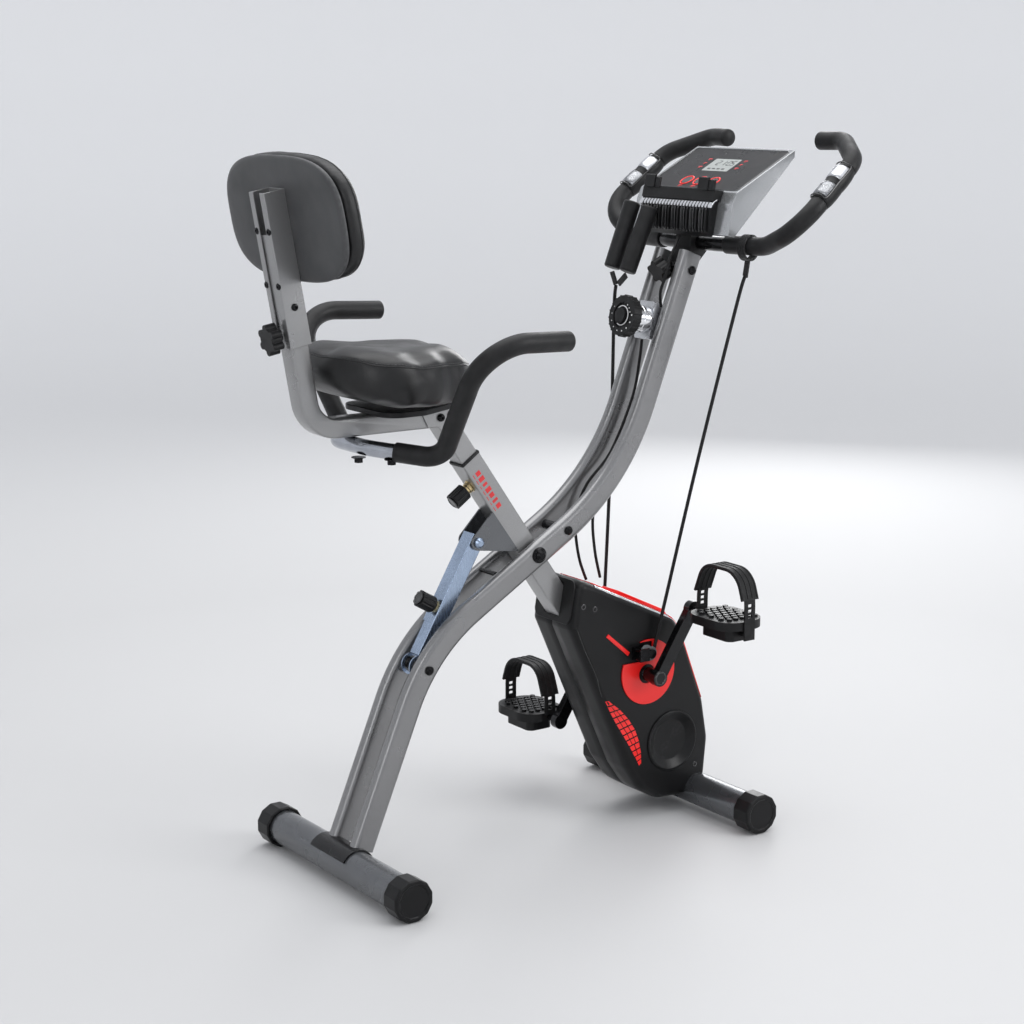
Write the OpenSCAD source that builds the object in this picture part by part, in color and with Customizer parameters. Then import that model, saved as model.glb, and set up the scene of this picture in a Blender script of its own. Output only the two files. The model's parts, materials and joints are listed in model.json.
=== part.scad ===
// Folding semi-recumbent exercise bike. Millimetres, +Z up, the rider faces +X.
// Two bent rails carry the handlebar; a straight main tube crosses between them
// on one pivot bolt and carries the seat, the cranks and the front foot.

/* [Pivot and main tube] */
// Height of the pivot bolt above the floor
pivot_z = 495; // [480:1:510]
// Lean of the main tube away from upright, in degrees
tube_lean = 35; // [34:0.5:36]
// Side of the square main tube
tube_w = 38; // [36:1:38]
// Length of the main tube above the pivot
tube_up = 205; // [195:1:215]

/* [Rails] */
// Depth of the oval rail tube, front to back
rail_d = 42; // [38:1:44]
// Width of the oval rail tube, side to side
rail_w = 22; // [20:1:24]
// Distance of each rail's middle plane from the middle of the bike
rail_y = 32; // [32:0.5:34]
// Wall of the frame tubes
wall = 1.6; // [1.2:0.1:2]

/* [Feet] */
// Distance of each foot tube from the middle, front to back
foot_x = 346; // [340:1:352]
// Outer diameter of the foot tubes
foot_tube_d = 57; // [54:1:58]
// Diameter over the corners of the end caps
cap_d = 70; // [68:1:72]
// Half the length of the rear foot, over the end caps
rear_half = 219; // [210:1:230]
// Half the length of the front foot, over the end caps
front_half = 231; // [220:1:240]

/* [Drive] */
// Crank axis, forward of the pivot bolt
crank_dx = 214; // [212:1:216]
// Crank axis, below the pivot bolt
crank_dz = 232; // [230:1:234]
// Length of a crank
crank_len = 132; // [126:1:134]
// Angle of the right crank above the horizontal
crank_angle = 57; // [52:1:64]
// Pitch radius of the crank pulley
big_pulley_r = 80; // [74:1:82]
// Radius of the flywheel
flywheel_r = 72; // [64:1:74]
// Half the width of the drive housing
housing_half = 60; // [58:1:62]

/* [Seat and backrest] */
// Width of the seat cushion
seat_w = 280; // [260:5:300]
// Width of the backrest pad
back_w = 350; // [320:2:350]
// Height of the backrest pad
back_h = 196; // [186:2:204]
// Lean of the backrest upright, in degrees
back_lean = 10; // [9:0.5:11]

/* [Handlebar and console] */
// Outer diameter of the handlebar and seat handle tubes
bar_d = 25; // [22:1:26]
// Outer diameter of the foam grips
foam_d = 31; // [30:1:33]
// Width of the console
console_w = 252; // [240:2:260]
// Diameter of the tension dial
dial_d = 68; // [64:1:72]

/* [Hidden] */
$fn = 48;

// Forward shift that puts the middle of the bike's footprint on the origin
shift_x = -46.2;
fit = 0.3;
run_gap = 0.05;

pivot = [13 + shift_x, 0, pivot_z];
down = [sin(tube_lean), 0, -cos(tube_lean)];
back_of_tube = [-cos(tube_lean), 0, -sin(tube_lean)];
cap_flat = cap_d / 2 * cos(15);
foot_z = cap_flat;
rear_foot = [shift_x - foot_x, 0, foot_z];
front_foot = [shift_x + foot_x, 0, foot_z];
crank = pivot + [crank_dx, 0, -crank_dz];
wheel = pivot + [273, 0, -362];
small_pulley_r = 20;
belt_y = 31;
belt_w = 9;

// ---------- Helpers ----------

function unit(v) = v / norm(v);
function side_of(d) = abs(d.y) < 0.9 ? [0, 1, 0] : [1, 0, 0];
function placed(x, y, z, p) =
    [[x.x, y.x, z.x, p.x], [x.y, y.y, z.y, p.y], [x.z, y.z, z.z, p.z], [0, 0, 0, 1]];
function moved(pts, d) = [for (p = pts) p + d];

// The child, an outline across the line from a to b, extruded along that line.
module leg(a, b) {
    d = unit(b - a);
    x = unit(cross(side_of(d), d));
    multmatrix(placed(x, cross(d, x), d, a)) linear_extrude(norm(b - a)) children();
}

// Points round one bend of radius r at b, about every 8 degrees.
function bend_points(a, b, c, r) =
    let (
        d1 = unit(b - a),
        d2 = unit(c - b),
        turn = acos(d1 * d2),
        inward = unit(d2 - (d1 * d2) * d1),
        start = b - r * tan(turn / 2) * d1,
        n = ceil(turn / 8)
    )
    [for (i = [0 : n]) start + r * (sin(turn * i / n) * d1 + (1 - cos(turn * i / n)) * inward)];

// The middle line of a tube bent at every inner point, with radius radii[i] there.
function bent(pts, radii) = concat([pts[0]],
    [for (i = [1 : len(pts) - 2]) each bend_points(pts[i - 1], pts[i], pts[i + 1], radii[i - 1])],
    [pts[len(pts) - 1]]);

// A smooth curve through every point of a hand-laid route, k steps a span.
function smooth(p, k) = concat([for (i = [0 : len(p) - 2], t = [0 : 1 / k : 0.999])
    let (a = p[max(i - 1, 0)], b = p[i], c = p[i + 1], e = p[min(i + 2, len(p) - 1)])
    0.5 * (2 * b + (c - a) * t + (2 * a - 5 * b + 4 * c - e) * t * t
        + (3 * b - a - 3 * c + e) * t * t * t)], [p[len(p) - 1]]);

function along(p, i) = unit(
    (i < len(p) - 1 ? unit(p[i + 1] - p[i]) : [0, 0, 0]) + (i > 0 ? unit(p[i] - p[i - 1]) : [0, 0, 0]));

function round_section(d, n) = [for (i = [0 : n - 1]) d / 2 * [cos(360 * i / n), sin(360 * i / n)]];
function flat_section(w, h) = [[w, -h] / 2, [w, h] / 2, [-w, h] / 2, [-w, -h] / 2];
function corner_section(w, h, r) = [for (q = [0 : 3], a = [0 : 30 : 90])
    let (s = [[1, 1], [-1, 1], [-1, -1], [1, -1]][q])
    [s.x * (w / 2 - r) + r * cos(90 * q + a), s.y * (h / 2 - r) + r * sin(90 * q + a)]];

// The section, its Y axis kept towards `side`, carried to every point of the line.
function rings(line, section, side) = [for (i = [0 : len(line) - 1])
    let (d = along(line, i), x = unit(cross(side, d)), y = cross(d, x))
    each [for (q = section) line[i] + q.x * x + q.y * y]];

// Four-sided faces between ring a and the ring n points on, for m rings from the point `from`.
function walls(from, n, m) = [for (i = [0 : m - 2], j = [0 : n - 1])
    let (a = from + i * n + j, b = from + i * n + (j + 1) % n)
    [a + n, b + n, b, a]];
function turned(faces) = [for (f = faces) [for (i = [len(f) - 1 : -1 : 0]) f[i]]];

// A solid bar: one section swept along the line.
module swept(line, section, side = [0, 1, 0]) {
    n = len(section);
    m = len(line);
    ends = [[for (j = [0 : n - 1]) j], [for (j = [n - 1 : -1 : 0]) (m - 1) * n + j]];
    polyhedron(points = rings(line, section, side), faces = concat(ends, walls(0, n, m)));
}

// The line with its last point moved on by e.
function longer(line, e) = let (m = len(line) - 1)
    [for (i = [0 : m]) line[i] + (i == m ? e * along(line, m) : [0, 0, 0])];

// A tube along the line, open at both ends, or closed at the far end by a skin `tip` thick.
module hollow(line, outer, inner, side = [0, 1, 0], tip = 0) {
    n = len(outer);
    m = len(line);
    far = (m - 1) * n;
    off = m * n;
    mouth = [for (j = [0 : n - 1]) let (k = (j + 1) % n) [j, k, k + off, j + off]];
    rim = [for (j = [0 : n - 1]) let (k = (j + 1) % n) [k + far, j + far, j + far + off, k + far + off]];
    plug = [[for (j = [n - 1 : -1 : 0]) far + j], [for (j = [0 : n - 1]) off + far + j]];
    polyhedron(
        points = concat(rings(longer(line, tip), outer, side),
            rings(longer(line, tip > 0 ? fit : 0), inner, side)),
        faces = concat(walls(0, n, m), turned(walls(off, n, m)), mouth, tip > 0 ? plug : rim));
}

module ring(d, t) {
    difference() {
        circle(d = d);
        circle(d = d - 2 * t);
    }
}

module rounded_box(w, h, r) {
    square([w - 2 * r, h], center = true);
    square([w, h - 2 * r], center = true);
    for (x = [-1, 1], y = [-1, 1]) translate([x * (w / 2 - r), y * (h / 2 - r)]) circle(r);
}

module box_tube(w, h, r, t) {
    difference() {
        rounded_box(w, h, r);
        rounded_box(w - 2 * t, h - 2 * t, max(r - t, 0.3));
    }
}

// Extrude an outline drawn as X and Z across the bike, about the given Y.
module across(width, y = 0) {
    translate([0, y, 0]) rotate([90, 0, 0]) linear_extrude(width, center = true) children();
}

// A cylinder across the bike at p, from y0 to y1.
module crossbar(p, y0, y1, d) {
    translate([p.x, y0, p.z]) rotate([-90, 0, 0]) cylinder(d = d, h = y1 - y0);
}

// A button-head screw whose head sits on the plane y = side * face.
module button_head(p, side, face, d, h) {
    translate([p.x, side * face, p.z]) rotate([-90 * side, 0, 0]) {
        cylinder(d = d, h = h * 0.45);
        translate([0, 0, h * 0.45]) cylinder(d1 = d, d2 = d * 0.55, h = h * 0.55);
    }
}

// The main tube's own frame: its origin on the pivot, local X across its depth
// towards the rider's feet, local Z up along the tube.
module along_tube(up = 0) {
    translate(pivot - up * down) rotate([0, -tube_lean, 0]) children();
}

// ---------- Rails and rear foot ----------

rail_line = bent(moved([[-339, 0, 30], [-198, 0, 366], [188, 0, 598], [333, 0, 973]],
    [shift_x, 0, 0]), [300, 400]);
rail_in = rail_y - rail_w / 2;
rail_out = rail_y + rail_w / 2;
low_bolt = [shift_x - 203, 0, 334];
spacer_bolt = [shift_x + 72, 0, 529];
top_bolt = [shift_x + 328, 0, 944];
bolt_d = 8;
pivot_d = 12;
saddle_t = 3;

module rail(side) {
    difference() {
        translate([0, side * rail_y, 0])
            hollow(rail_line, corner_section(rail_d, rail_w, rail_w / 2),
                corner_section(rail_d - 2 * wall, rail_w - 2 * wall, rail_w / 2 - wall));
        crossbar(rear_foot, -80, 80, foot_tube_d + 2 * saddle_t + 0.2);
        crossbar(pivot, -80, 80, pivot_d);
        for (p = [low_bolt, spacer_bolt, top_bolt]) crossbar(p, -80, 80, bolt_d);
    }
}

module rail_right() color("silver") rail(-1);
module rail_left() color("silver") rail(1);

module foot_saddle(p, half, from, to) {
    translate([p.x, -half, p.z]) rotate([-90, 0, 0]) rotate([0, 0, from])
        rotate_extrude(angle = to - from)
            translate([foot_tube_d / 2, 0]) square([saddle_t, 2 * half]);
}

module cross_tube(p, d) {
    difference() {
        crossbar(p, -rail_in, rail_in, d);
        crossbar(p, -80, 80, bolt_d);
    }
}

module frame_cross_parts() color("darkslategray") {
    foot_saddle(rear_foot, 52, -150, -20);
    cross_tube(low_bolt, 19);
    cross_tube(spacer_bolt, 16);
    cross_tube(top_bolt, 22);
    crossbar([shift_x - 58, 0, 468], -rail_in, rail_in, 8);
}

module foot_tube(p, half) {
    translate([p.x, 0, p.z]) rotate([90, 0, 0])
        linear_extrude(2 * half - 16, center = true) ring(foot_tube_d, wall);
}

module end_caps(p, half) {
    cup = 37;
    for (s = [-1, 1])
        translate([p.x, s * half, p.z]) rotate([90 * s, 0, 0])
            difference() {
                rotate(15) cylinder(d = cap_d, h = cup, $fn = 12);
                translate([0, 0, 8]) cylinder(d = foot_tube_d, h = cup);
            }
}

module rear_stabilizer() color("dimgray") foot_tube(rear_foot, rear_half);
module rear_end_caps() color("black") end_caps(rear_foot, rear_half);

module rail_bolts() color("black") {
    for (p = [low_bolt, spacer_bolt, top_bolt]) {
        crossbar(p, -rail_out, rail_out, bolt_d);
        for (s = [-1, 1]) button_head(p, s, rail_out, 15, 6);
    }
}

module pivot_bolt() color("black") {
    crossbar(pivot, -rail_out, rail_out, pivot_d - 2 * run_gap);
    for (s = [-1, 1]) {
        button_head(pivot, s, rail_out, 27, 4);
        button_head(pivot, s, rail_out + 1.7, 19, 9);
        difference() {
            crossbar(pivot, min(s * rail_in, s * 19.2), max(s * rail_in, s * 19.2), 30);
            crossbar(pivot, -80, 80, pivot_d - 2 * run_gap);
        }
    }
}

// ---------- Handlebar ----------

bar_right = moved([[366, -60, 988], [386, -160, 988], [370, -256, 1024],
    [502, -242, 1128], [549, -168, 1158], [542, -120, 1157]], [shift_x, 0, 0]);
bar_bends = [60, 60, 58, 46, 38];
bar_side = [0.7, 0, -0.7];
pod_dir = unit(bar_right[3] - bar_right[2]);
pod_from = bar_right[2] + 62 * pod_dir;
pod_to = bar_right[2] + 146 * pod_dir;
foam_from = bar_right[0] + 22 * unit(bar_right[1] - bar_right[0]);

// The right half mirrored to the left, as one line from tip to tip.
function both_halves(p) = concat([for (i = [len(p) - 1 : -1 : 0]) [p[i].x, -p[i].y, p[i].z]], p);
function palindrome(r) = concat([for (i = [len(r) - 1 : -1 : 0]) r[i]], r);

module both_sides() {
    children();
    mirror([0, 1, 0]) children();
}

module handlebar_tube() color("dimgray")
    hollow(bent(both_halves(bar_right), palindrome(bar_bends)),
        round_section(bar_d, 16), round_section(bar_d - 2 * wall, 16), bar_side);

// A foam sleeve on a tube, closed over the tube's end where it has a tip.
module sleeve(line, tip, side)
    hollow(line, round_section(foam_d, 16), round_section(bar_d + 0.2, 16), side, tip ? 4 : 0);

module handlebar_foam() color("black")
    both_sides() {
        sleeve(bent([foam_from, bar_right[1], bar_right[2], pod_from], [60, 58]), false, bar_side);
        sleeve(bent([pod_to, bar_right[3], bar_right[4], bar_right[5]], [46, 38]), true, bar_side);
    }

// Each pulse grip is a two-part plastic sleeve with two contact plates in it.
pod_d = 36;

module pulse_grips() color("silver")
    both_sides() {
        leg(pod_from, pod_to) ring(pod_d, (pod_d - bar_d) / 2);
        for (span = [[8, 36], [46, 74]])
            leg(pod_from + span[0] * pod_dir, pod_from + span[1] * pod_dir)
                intersection() {
                    ring(pod_d + 2, 1);
                    translate([-pod_d, -pod_d / 3]) square([pod_d, pod_d / 1.5]);
                }
    }

clamp_c = [bar_right[0].x, 0, bar_right[0].z];

module bar_clamp() color("black") {
    across(2 * rail_in - 2)
        difference() {
            polygon([clamp_c + [-22, 0, -8], clamp_c + [-38, 0, -36], clamp_c + [-12, 0, -41],
                clamp_c + [20, 0, -8], clamp_c + [20, 0, 14], clamp_c + [-22, 0, 14]]
                * [[1, 0], [0, 0], [0, 1]]);
            translate([clamp_c.x, clamp_c.z]) circle(d = bar_d);
            translate([top_bolt.x, top_bolt.z]) circle(d = 22);
        }
}

clamp_knob_p = clamp_c + [-50, 0, -34];

module clamp_knob() color("black")
    translate(clamp_knob_p) rotate([0, -115, 0]) {
        cylinder(d = 10, h = 14);
        translate([0, 0, 14]) linear_extrude(20) {
            circle(d = 30);
            for (i = [0 : 4]) rotate(72 * i) translate([15, 0]) circle(d = 12);
        }
    }

// ---------- Console ----------

console_half = console_w / 2;
deck_top = [shift_x + 478, 1143];
deck_low = [shift_x + 352, 1076];
deck_tilt = atan2(deck_top[1] - deck_low[1], deck_top[0] - deck_low[0]);
deck_len = norm(deck_top - deck_low);
panel_t = 3;

// The deck's own frame: X up the slope, Y across, Z out of the face.
module on_deck(s, y = 0, out = 0) {
    translate([deck_low[0], y, deck_low[1]]) rotate([0, -deck_tilt, 0])
        translate([s, 0, out]) children();
}

module console_outline() polygon([deck_top, deck_low, [shift_x + 343, 1058], [shift_x + 334, 1006],
    [shift_x + 348, 1003], [shift_x + 478, 1131]]);

module console_shell() color("silver")
    difference() {
        across(console_w) console_outline();
        across(console_w - 6)
            polygon([deck_top + [-12, -8], deck_low + [4, -4], [shift_x + 347, 1056],
                [shift_x + 340, 1011], [shift_x + 346, 1011], [shift_x + 468, 1128]]);
        on_deck(deck_len / 2, 0, -panel_t) linear_extrude(40)
            rounded_box(deck_len - 14, console_w - 14, 6);
        crossbar(clamp_c, -80, 80, bar_d + 8);
    }

screen_s = 84;
button_s = 30;
button_d = 20;
button_gap = 34;

module console_panel() color("black") {
    difference() {
        on_deck(deck_len / 2, 0, -panel_t) linear_extrude(panel_t)
            rounded_box(deck_len - 14.4, console_w - 14.4, 6);
        for (i = [-1 : 1]) on_deck(button_s, i * button_gap, -panel_t - 1) cylinder(d = button_d + 0.8, h = 9);
        on_deck(screen_s, 0, -1.4) linear_extrude(9) square([40, 66], center = true);
    }
    color("darkseagreen") on_deck(screen_s, 0, -1.4) linear_extrude(1) square([40, 66], center = true);
}

module console_button(i) color("darkred")
    on_deck(button_s, i * button_gap, -panel_t + 1.4) cylinder(d = button_d, h = panel_t - 0.4);

module button_left() console_button(1);
module button_middle() console_button(0);
module button_right() console_button(-1);

shelf_x = shift_x + 338;

// Tablet shelf: a ledge with two raised lips over a ribbed grille.
module console_shelf() color("dimgray") {
    across(188) polygon([[shelf_x + 4.6, 1061], [shelf_x + 13, 1078], [shelf_x - 6, 1080],
        [shelf_x - 10, 1062]]);
    for (y = [-80, 62]) across(28, y) polygon([[shelf_x - 9, 1079.5], [shelf_x - 6, 1079],
        [shelf_x - 3, 1096], [shelf_x - 6, 1096]]);
    across(180) polygon([[shelf_x + 4.6, 1060.8], [shelf_x - 4, 1061.5], [shelf_x - 14, 1050],
        [shelf_x - 16, 1012], [shelf_x - 8, 1002], [shelf_x - 4.8, 1006]]);
    for (y = [-84 : 12 : 84]) across(4, y) polygon([[shelf_x - 13.5, 1050], [shelf_x - 18, 1047],
        [shelf_x - 20, 1014], [shelf_x - 15, 1009]]);
}

// ---------- Tension dial ----------

dial_tilt = 12;
dial_face = [shift_x + 213, 0, 872];
dial_back = unit([1, 0, -tan(dial_tilt)]);
dial_t = 16;

module at_dial(out = 0) {
    translate(dial_face + out * dial_back) rotate([0, 90 + dial_tilt, 0]) children();
}

module dial_base() color("gray") {
    at_dial(dial_t + fit) cylinder(d = 42, h = 36);
    at_dial(dial_t + fit + 34) linear_extrude(9) rounded_box(64, 2 * rail_in - 1, 4);
    for (s = [-1, 1])
        at_dial(dial_t + fit + 36) translate([0, s * (rail_in - 3.5), 0]) linear_extrude(28)
            square([50, 4], center = true);
}

module tension_dial() color("black")
    at_dial() {
        difference() {
            cylinder(d = dial_d, h = dial_t);
            translate([0, 0, -1]) cylinder(d = 44, h = 4);
        }
        translate([0, 0, -5]) cylinder(d = 26, h = 10);
        linear_extrude(dial_t) for (i = [0 : 17]) rotate(20 * i) translate([dial_d / 2, 0]) circle(d = 3);
    }

// ---------- Cables and bands ----------

module cord(route, d, per_span)
    swept(smooth(route, per_span), round_section(d, 8));

cable_d = 5;
// From the dial down between the rails, past the pivot, into the top of the housing
tension_route = moved([[260, 4, 828], [259, 8, 795], [246, 10, 730], [200, 10, 640], [150, 10, 590],
    [126, 10, 540], [128, 10, 500], [136, 10, 460], [150, 10, 425]], [shift_x, 0, 0]);
// From the console down between the rails, past the pivot, into the top of the housing
sensor_route = moved([[326, -10, 1000], [308, -24, 987], [291, -29, 964], [284, -27, 935],
    [283, -15, 905], [290, -12, 860], [282, -12, 815], [272, -12, 770], [222, -10, 660], [168, -8, 600],
    [150, -8, 540], [154, -8, 480], [166, -8, 430]], [shift_x, 0, 0]);

module tension_cable() color("black") cord(tension_route, cable_d, 3);
module sensor_cable() color("black") cord(sensor_route, cable_d, 3);

band_d = 6;
right_pulley = [shift_x + 222, -72, 303];
left_pulley = [shift_x + 222, 72, 303];
pulley_r = 10;
loop_r = [shift_x + 386, -112, 948];
grip_low = [shift_x + 249, 56, 940];
band_right_route = [right_pulley + [pulley_r + 1, 0, 2], right_pulley + [34, -4, 96],
    right_pulley + [84, -22, 330], right_pulley + [148, -36, 580], loop_r + [-1, 0, -12]];
band_left_route = [left_pulley + [pulley_r + 1, 0, 2], left_pulley + [20, 3, 110],
    left_pulley + [34, 9, 330], left_pulley + [40, 12, 560], grip_low + [4, 12, -26]];

module band_cord_right() color("black") cord(band_right_route, band_d, 8);
module band_cord_left() color("black") cord(band_left_route, band_d, 8);

grip_d = 29;
grips = [[[shift_x + 249, 74, 944], [shift_x + 292, 74, 1054]],
    [[shift_x + 255, 40, 939], [shift_x + 303, 40, 1046]]];

module band_grips() color("black")
    for (g = grips) leg(g[0], g[1]) circle(d = grip_d);

strap_t = 3;

module strap(a, b, w = 10) {
    d = unit(b - a);
    leg(a, b) square([strap_t, w], center = true);
}

module band_straps() color("black") {
    // Webbing loop round the right side of the bar
    translate([bar_right[1].x - 7, -126, 985]) rotate([90, 0, 12]) linear_extrude(14, center = true)
        ring(foam_d + 13, 3);
    strap([shift_x + 379, -125, 964], loop_r + [0, 0, -12]);
    // Webbing from each hanging grip to the ring under the console
    strap([shift_x + 249, 74, 938], grip_low + [4, 12, -24]);
    strap([shift_x + 253, 40, 934], grip_low + [4, 4, -22]);
}

// ---------- Main tube and front foot ----------

module main_tube() color("lightgray")
    difference() {
        union() {
            along_tube(-530) linear_extrude(530 + tube_up) box_tube(tube_w, tube_w, 2.5, wall);
            crossbar(pivot, -tube_w / 2 + wall, tube_w / 2 - wall, pivot_d + 6);
        }
        crossbar(pivot, -80, 80, pivot_d);
        crossbar(front_foot, -80, 80, foot_tube_d + 2 * saddle_t + 0.2);
        along_tube(knob_up) rotate([0, -90, 0]) cylinder(d = knob_neck_d, h = 60);
    }

knob_up = 160;
knob_neck_d = 14;
ear_pin = pivot + [-104, 0, 29.5];
ear_t = 3;
ear_gap = 17;

module ear_outline()
    hull() {
        translate([ear_pin.x, ear_pin.z]) circle(13, $fn = 32);
        translate([pivot.x - 76, pivot.z + 74]) circle(2, $fn = 16);
        translate([pivot.x - 28, pivot.z + 8]) circle(2, $fn = 16);
    }

// Strut ears, front saddle, flywheel and band pulley plates, all welded on
module frame_plates() color("gray") {
    for (s = [-1, 1])
        difference() {
            across(ear_t, s * (ear_gap + ear_t / 2)) ear_outline();
            along_tube() translate([0, 0, -60]) linear_extrude(400) square(tube_w, center = true);
            crossbar(ear_pin, -80, 80, 8 + 2 * run_gap);
        }
    foot_saddle(front_foot, 44, -165, -35);
    drive_plate();
    band_pulley_forks();
}

// A plate on the left face of the main tube holding the flywheel bolt and the arm's pin
module drive_plate() {
    across(4, tube_w / 2 + 2.1)
        polygon([for (p = [[-24, -20], [20, -26], [24, 14], [-70, 48], [-104, 44], [-104, 24]])
            [wheel.x, wheel.z] + p]);
    crossbar(wheel, tube_w / 2 + 2, 57, 10);
    crossbar(wheel, tube_w / 2 + 2, 25, 22);
    crossbar(arm_pin, tube_w / 2 + 2, 56, 6);
}

// Two band pulley forks, each on a base plate behind the housing wall
module band_pulley_forks()
    for (s = [-1, 1]) {
        across(3, s * (housing_half - shell_t - 1.8)) translate([shift_x + 180, 284])
            square([58, 38]);
        across(4, s * 62.5) pulley_cheek();
        across(4, s * 81.5) pulley_cheek();
        for (z = [-7, 7]) crossbar([shift_x + 199, 0, 303 + z], min(s * 55, s * 83), max(s * 55, s * 83), 6);
        crossbar(right_pulley, min(s * 61, s * 83), max(s * 61, s * 83), 5);
    }

module pulley_cheek() {
    translate([right_pulley.x, right_pulley.z]) circle(8);
    translate([right_pulley.x - 26, right_pulley.z - 11]) square([20, 22]);
}

module band_pulley(s)
    translate([right_pulley.x, s * 72, right_pulley.z]) rotate([90, 0, 0])
        rotate_extrude() polygon([[2.5 + run_gap, -7], [12.5, -7], [12.5, -6], [6, 0], [12.5, 6],
            [12.5, 7], [2.5 + run_gap, 7]]);

module band_pulley_right() color("slategray") band_pulley(-1);
module band_pulley_left() color("slategray") band_pulley(1);

module front_stabilizer() color("dimgray") foot_tube(front_foot, front_half);
module front_end_caps() color("black") end_caps(front_foot, front_half);

// ---------- Height knob ----------

module height_knob() color("black")
    along_tube(knob_up) rotate([0, -90, 0]) {
        translate([0, 0, tube_w / 2 - wall]) cylinder(d = knob_neck_d - 0.4, h = 14 + wall);
        translate([0, 0, tube_w / 2 + 13]) fluted_grip(28, 27);
    }

module fluted_grip(d, h)
    difference() {
        cylinder(d = d, h = h);
        for (i = [0 : 9]) rotate(36 * i) translate([d / 2 + 1, 0, 3]) cylinder(d = 5, h = h);
    }

// ---------- Drive ----------

bb_d = 44;
axle_d = 17;

module bottom_bracket() color("gray") {
    difference() {
        crossbar(crank, -34, 24, bb_d);
        crossbar(crank, -80, 80, 35);
        along_tube(-600) linear_extrude(900) square(tube_w + 0.02, center = true);
    }
    for (y = [-33, 12]) difference() {
        crossbar(crank, y, y + 11, 35);
        crossbar(crank, -80, 80, axle_d + 2 * run_gap);
    }
}

boss_y = 96;

module crank_axle() color("gray") {
    axle_half = boss_y - 14;
    rim = big_pulley_r - 1;
    low = belt_y - belt_w / 2 - 2.5;
    high = belt_y + belt_w / 2 + 2.5;
    difference() {
        translate(crank) rotate([-90, 0, 0]) rotate_extrude()
            polygon([[0, -axle_half], [axle_d / 2, -axle_half], [axle_d / 2, low + 3], [rim - 14, low + 3],
                [rim - 14, low], [rim + 4, low], [rim + 4, low + 1.5], [rim, low + 1.5],
                [rim, high - 1.5], [rim + 4, high - 1.5], [rim + 4, high], [rim - 14, high],
                [rim - 14, high - 3], [axle_d / 2, high - 3], [axle_d / 2, axle_half], [0, axle_half]]);
        for (i = [0 : 4]) rotate_about(crank, 72 * i) crossbar(crank + [38, 0, 0], -80, 80, 34);
    }
}

module rotate_about(p, a)
    translate(p) rotate([0, a, 0]) translate(-p) children();

function crank_end(s) = crank + s * crank_len * [cos(crank_angle), 0, sin(crank_angle)];

module crank_arm(s) {
    y0 = s > 0 ? -boss_y - 4 : boss_y - 10;
    end = crank_end(s);
    tilt = crank_angle + (s > 0 ? 0 : 180);
    difference() {
        union() {
            across(14, y0 + 7) translate([crank.x, crank.z]) rotate(tilt) {
                circle(d = 29);
                translate([crank_len, 0]) circle(d = 27);
                translate([0, -11]) square([crank_len, 22]);
            }
            crossbar(crank, s > 0 ? -boss_y + 4 : 66, s > 0 ? -66 : boss_y - 4, 25);
        }
        crossbar(crank, 14 - boss_y, boss_y - 14, axle_d);
    }
    crossbar(end, s > 0 ? 6 - pedal_out : boss_y - 3, s > 0 ? 3 - boss_y : pedal_out - 6, 9);
}

module crank_arms() color("black") {
    crank_arm(1);
    crank_arm(-1);
}

pedal_in = 122;
pedal_out = 238;
pedal_half = 46;

// A pedal: a bumped platform with a box under it, turning on the axle in the crank
module pedal(s) {
    end = crank_end(s);
    side = -s;
    mid = side * (pedal_in + pedal_out) / 2;
    box_mid = side * (pedal_in + pedal_out + 6) / 2;
    difference() {
        union() {
            translate([end.x, mid, end.z - 7]) linear_extrude(15)
                rounded_box(2 * pedal_half, pedal_out - pedal_in, 36);
            translate([end.x, box_mid, end.z - 29]) linear_extrude(22.2)
                rounded_box(52, pedal_out - pedal_in - 42, 12);
            crossbar(end + [0, 0, -16], min(side * 200, side * (pedal_out + 0.4)),
                max(side * 200, side * (pedal_out + 0.4)), 10);
            for (i = [-2 : 2], j = [-3 : 3])
                translate([end.x + 14 * i + (j % 2 == 0 ? 0 : 7) - 3, mid + 12.5 * j, end.z + 8])
                    cylinder(d = 10, h = 3.5, $fn = 6);
        }
        crossbar(end, -300, 300, 9 + 2 * run_gap);
    }
}

strap_high = 90;

// A strap over the foot, from under the platform's inner edge to its outer edge
module pedal_strap(s) {
    end = crank_end(s);
    side = -s;
    low = side * (pedal_in - 2.2);
    high = side * (pedal_out + 2.2);
    hoop = bent([end + [0, low, 40], end + [0, low + side * 20, strap_high],
        end + [0, high - side * 16, strap_high], end + [0, high, 44]], [34, 40]);
    swept(bent([end + [0, low, 5.4], end + [0, low, 40], end + [0, low + side * 20, strap_high],
        end + [0, high - side * 16, strap_high], end + [0, high, 44], end + [0, high, -24]],
        [60, 34, 40, 60]), flat_section(3, 22), [1, 0, 0]);
    swept(hoop, flat_section(3.8, 36), [1, 0, 0]);
}

module pedal_right() color("black") pedal(1);
module pedal_left() color("black") pedal(-1);
module pedal_strap_right() color("black") pedal_strap(1);
module pedal_strap_left() color("black") pedal_strap(-1);

// The belt lies a hair outside both pulleys.
module belt_outline(extra) {
    a = [crank.x, crank.z];
    b = [wheel.x, wheel.z];
    along = b - a;
    span = norm(along);
    lean = asin((big_pulley_r - small_pulley_r) / span);
    translate(a) rotate(atan2(along[1], along[0])) {
        circle(big_pulley_r + extra);
        translate([span, 0]) circle(small_pulley_r + extra);
        for (m = [0, 1]) mirror([0, m])
            polygon([[0, 0], (big_pulley_r + extra) * [sin(lean), cos(lean)],
                [span, 0] + (small_pulley_r + extra) * [sin(lean), cos(lean)], [span, 0]]);
    }
}

module drive_belt() color("black")
    across(belt_w, belt_y) difference() {
        belt_outline(3);
        belt_outline(0.4);
    }

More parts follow.
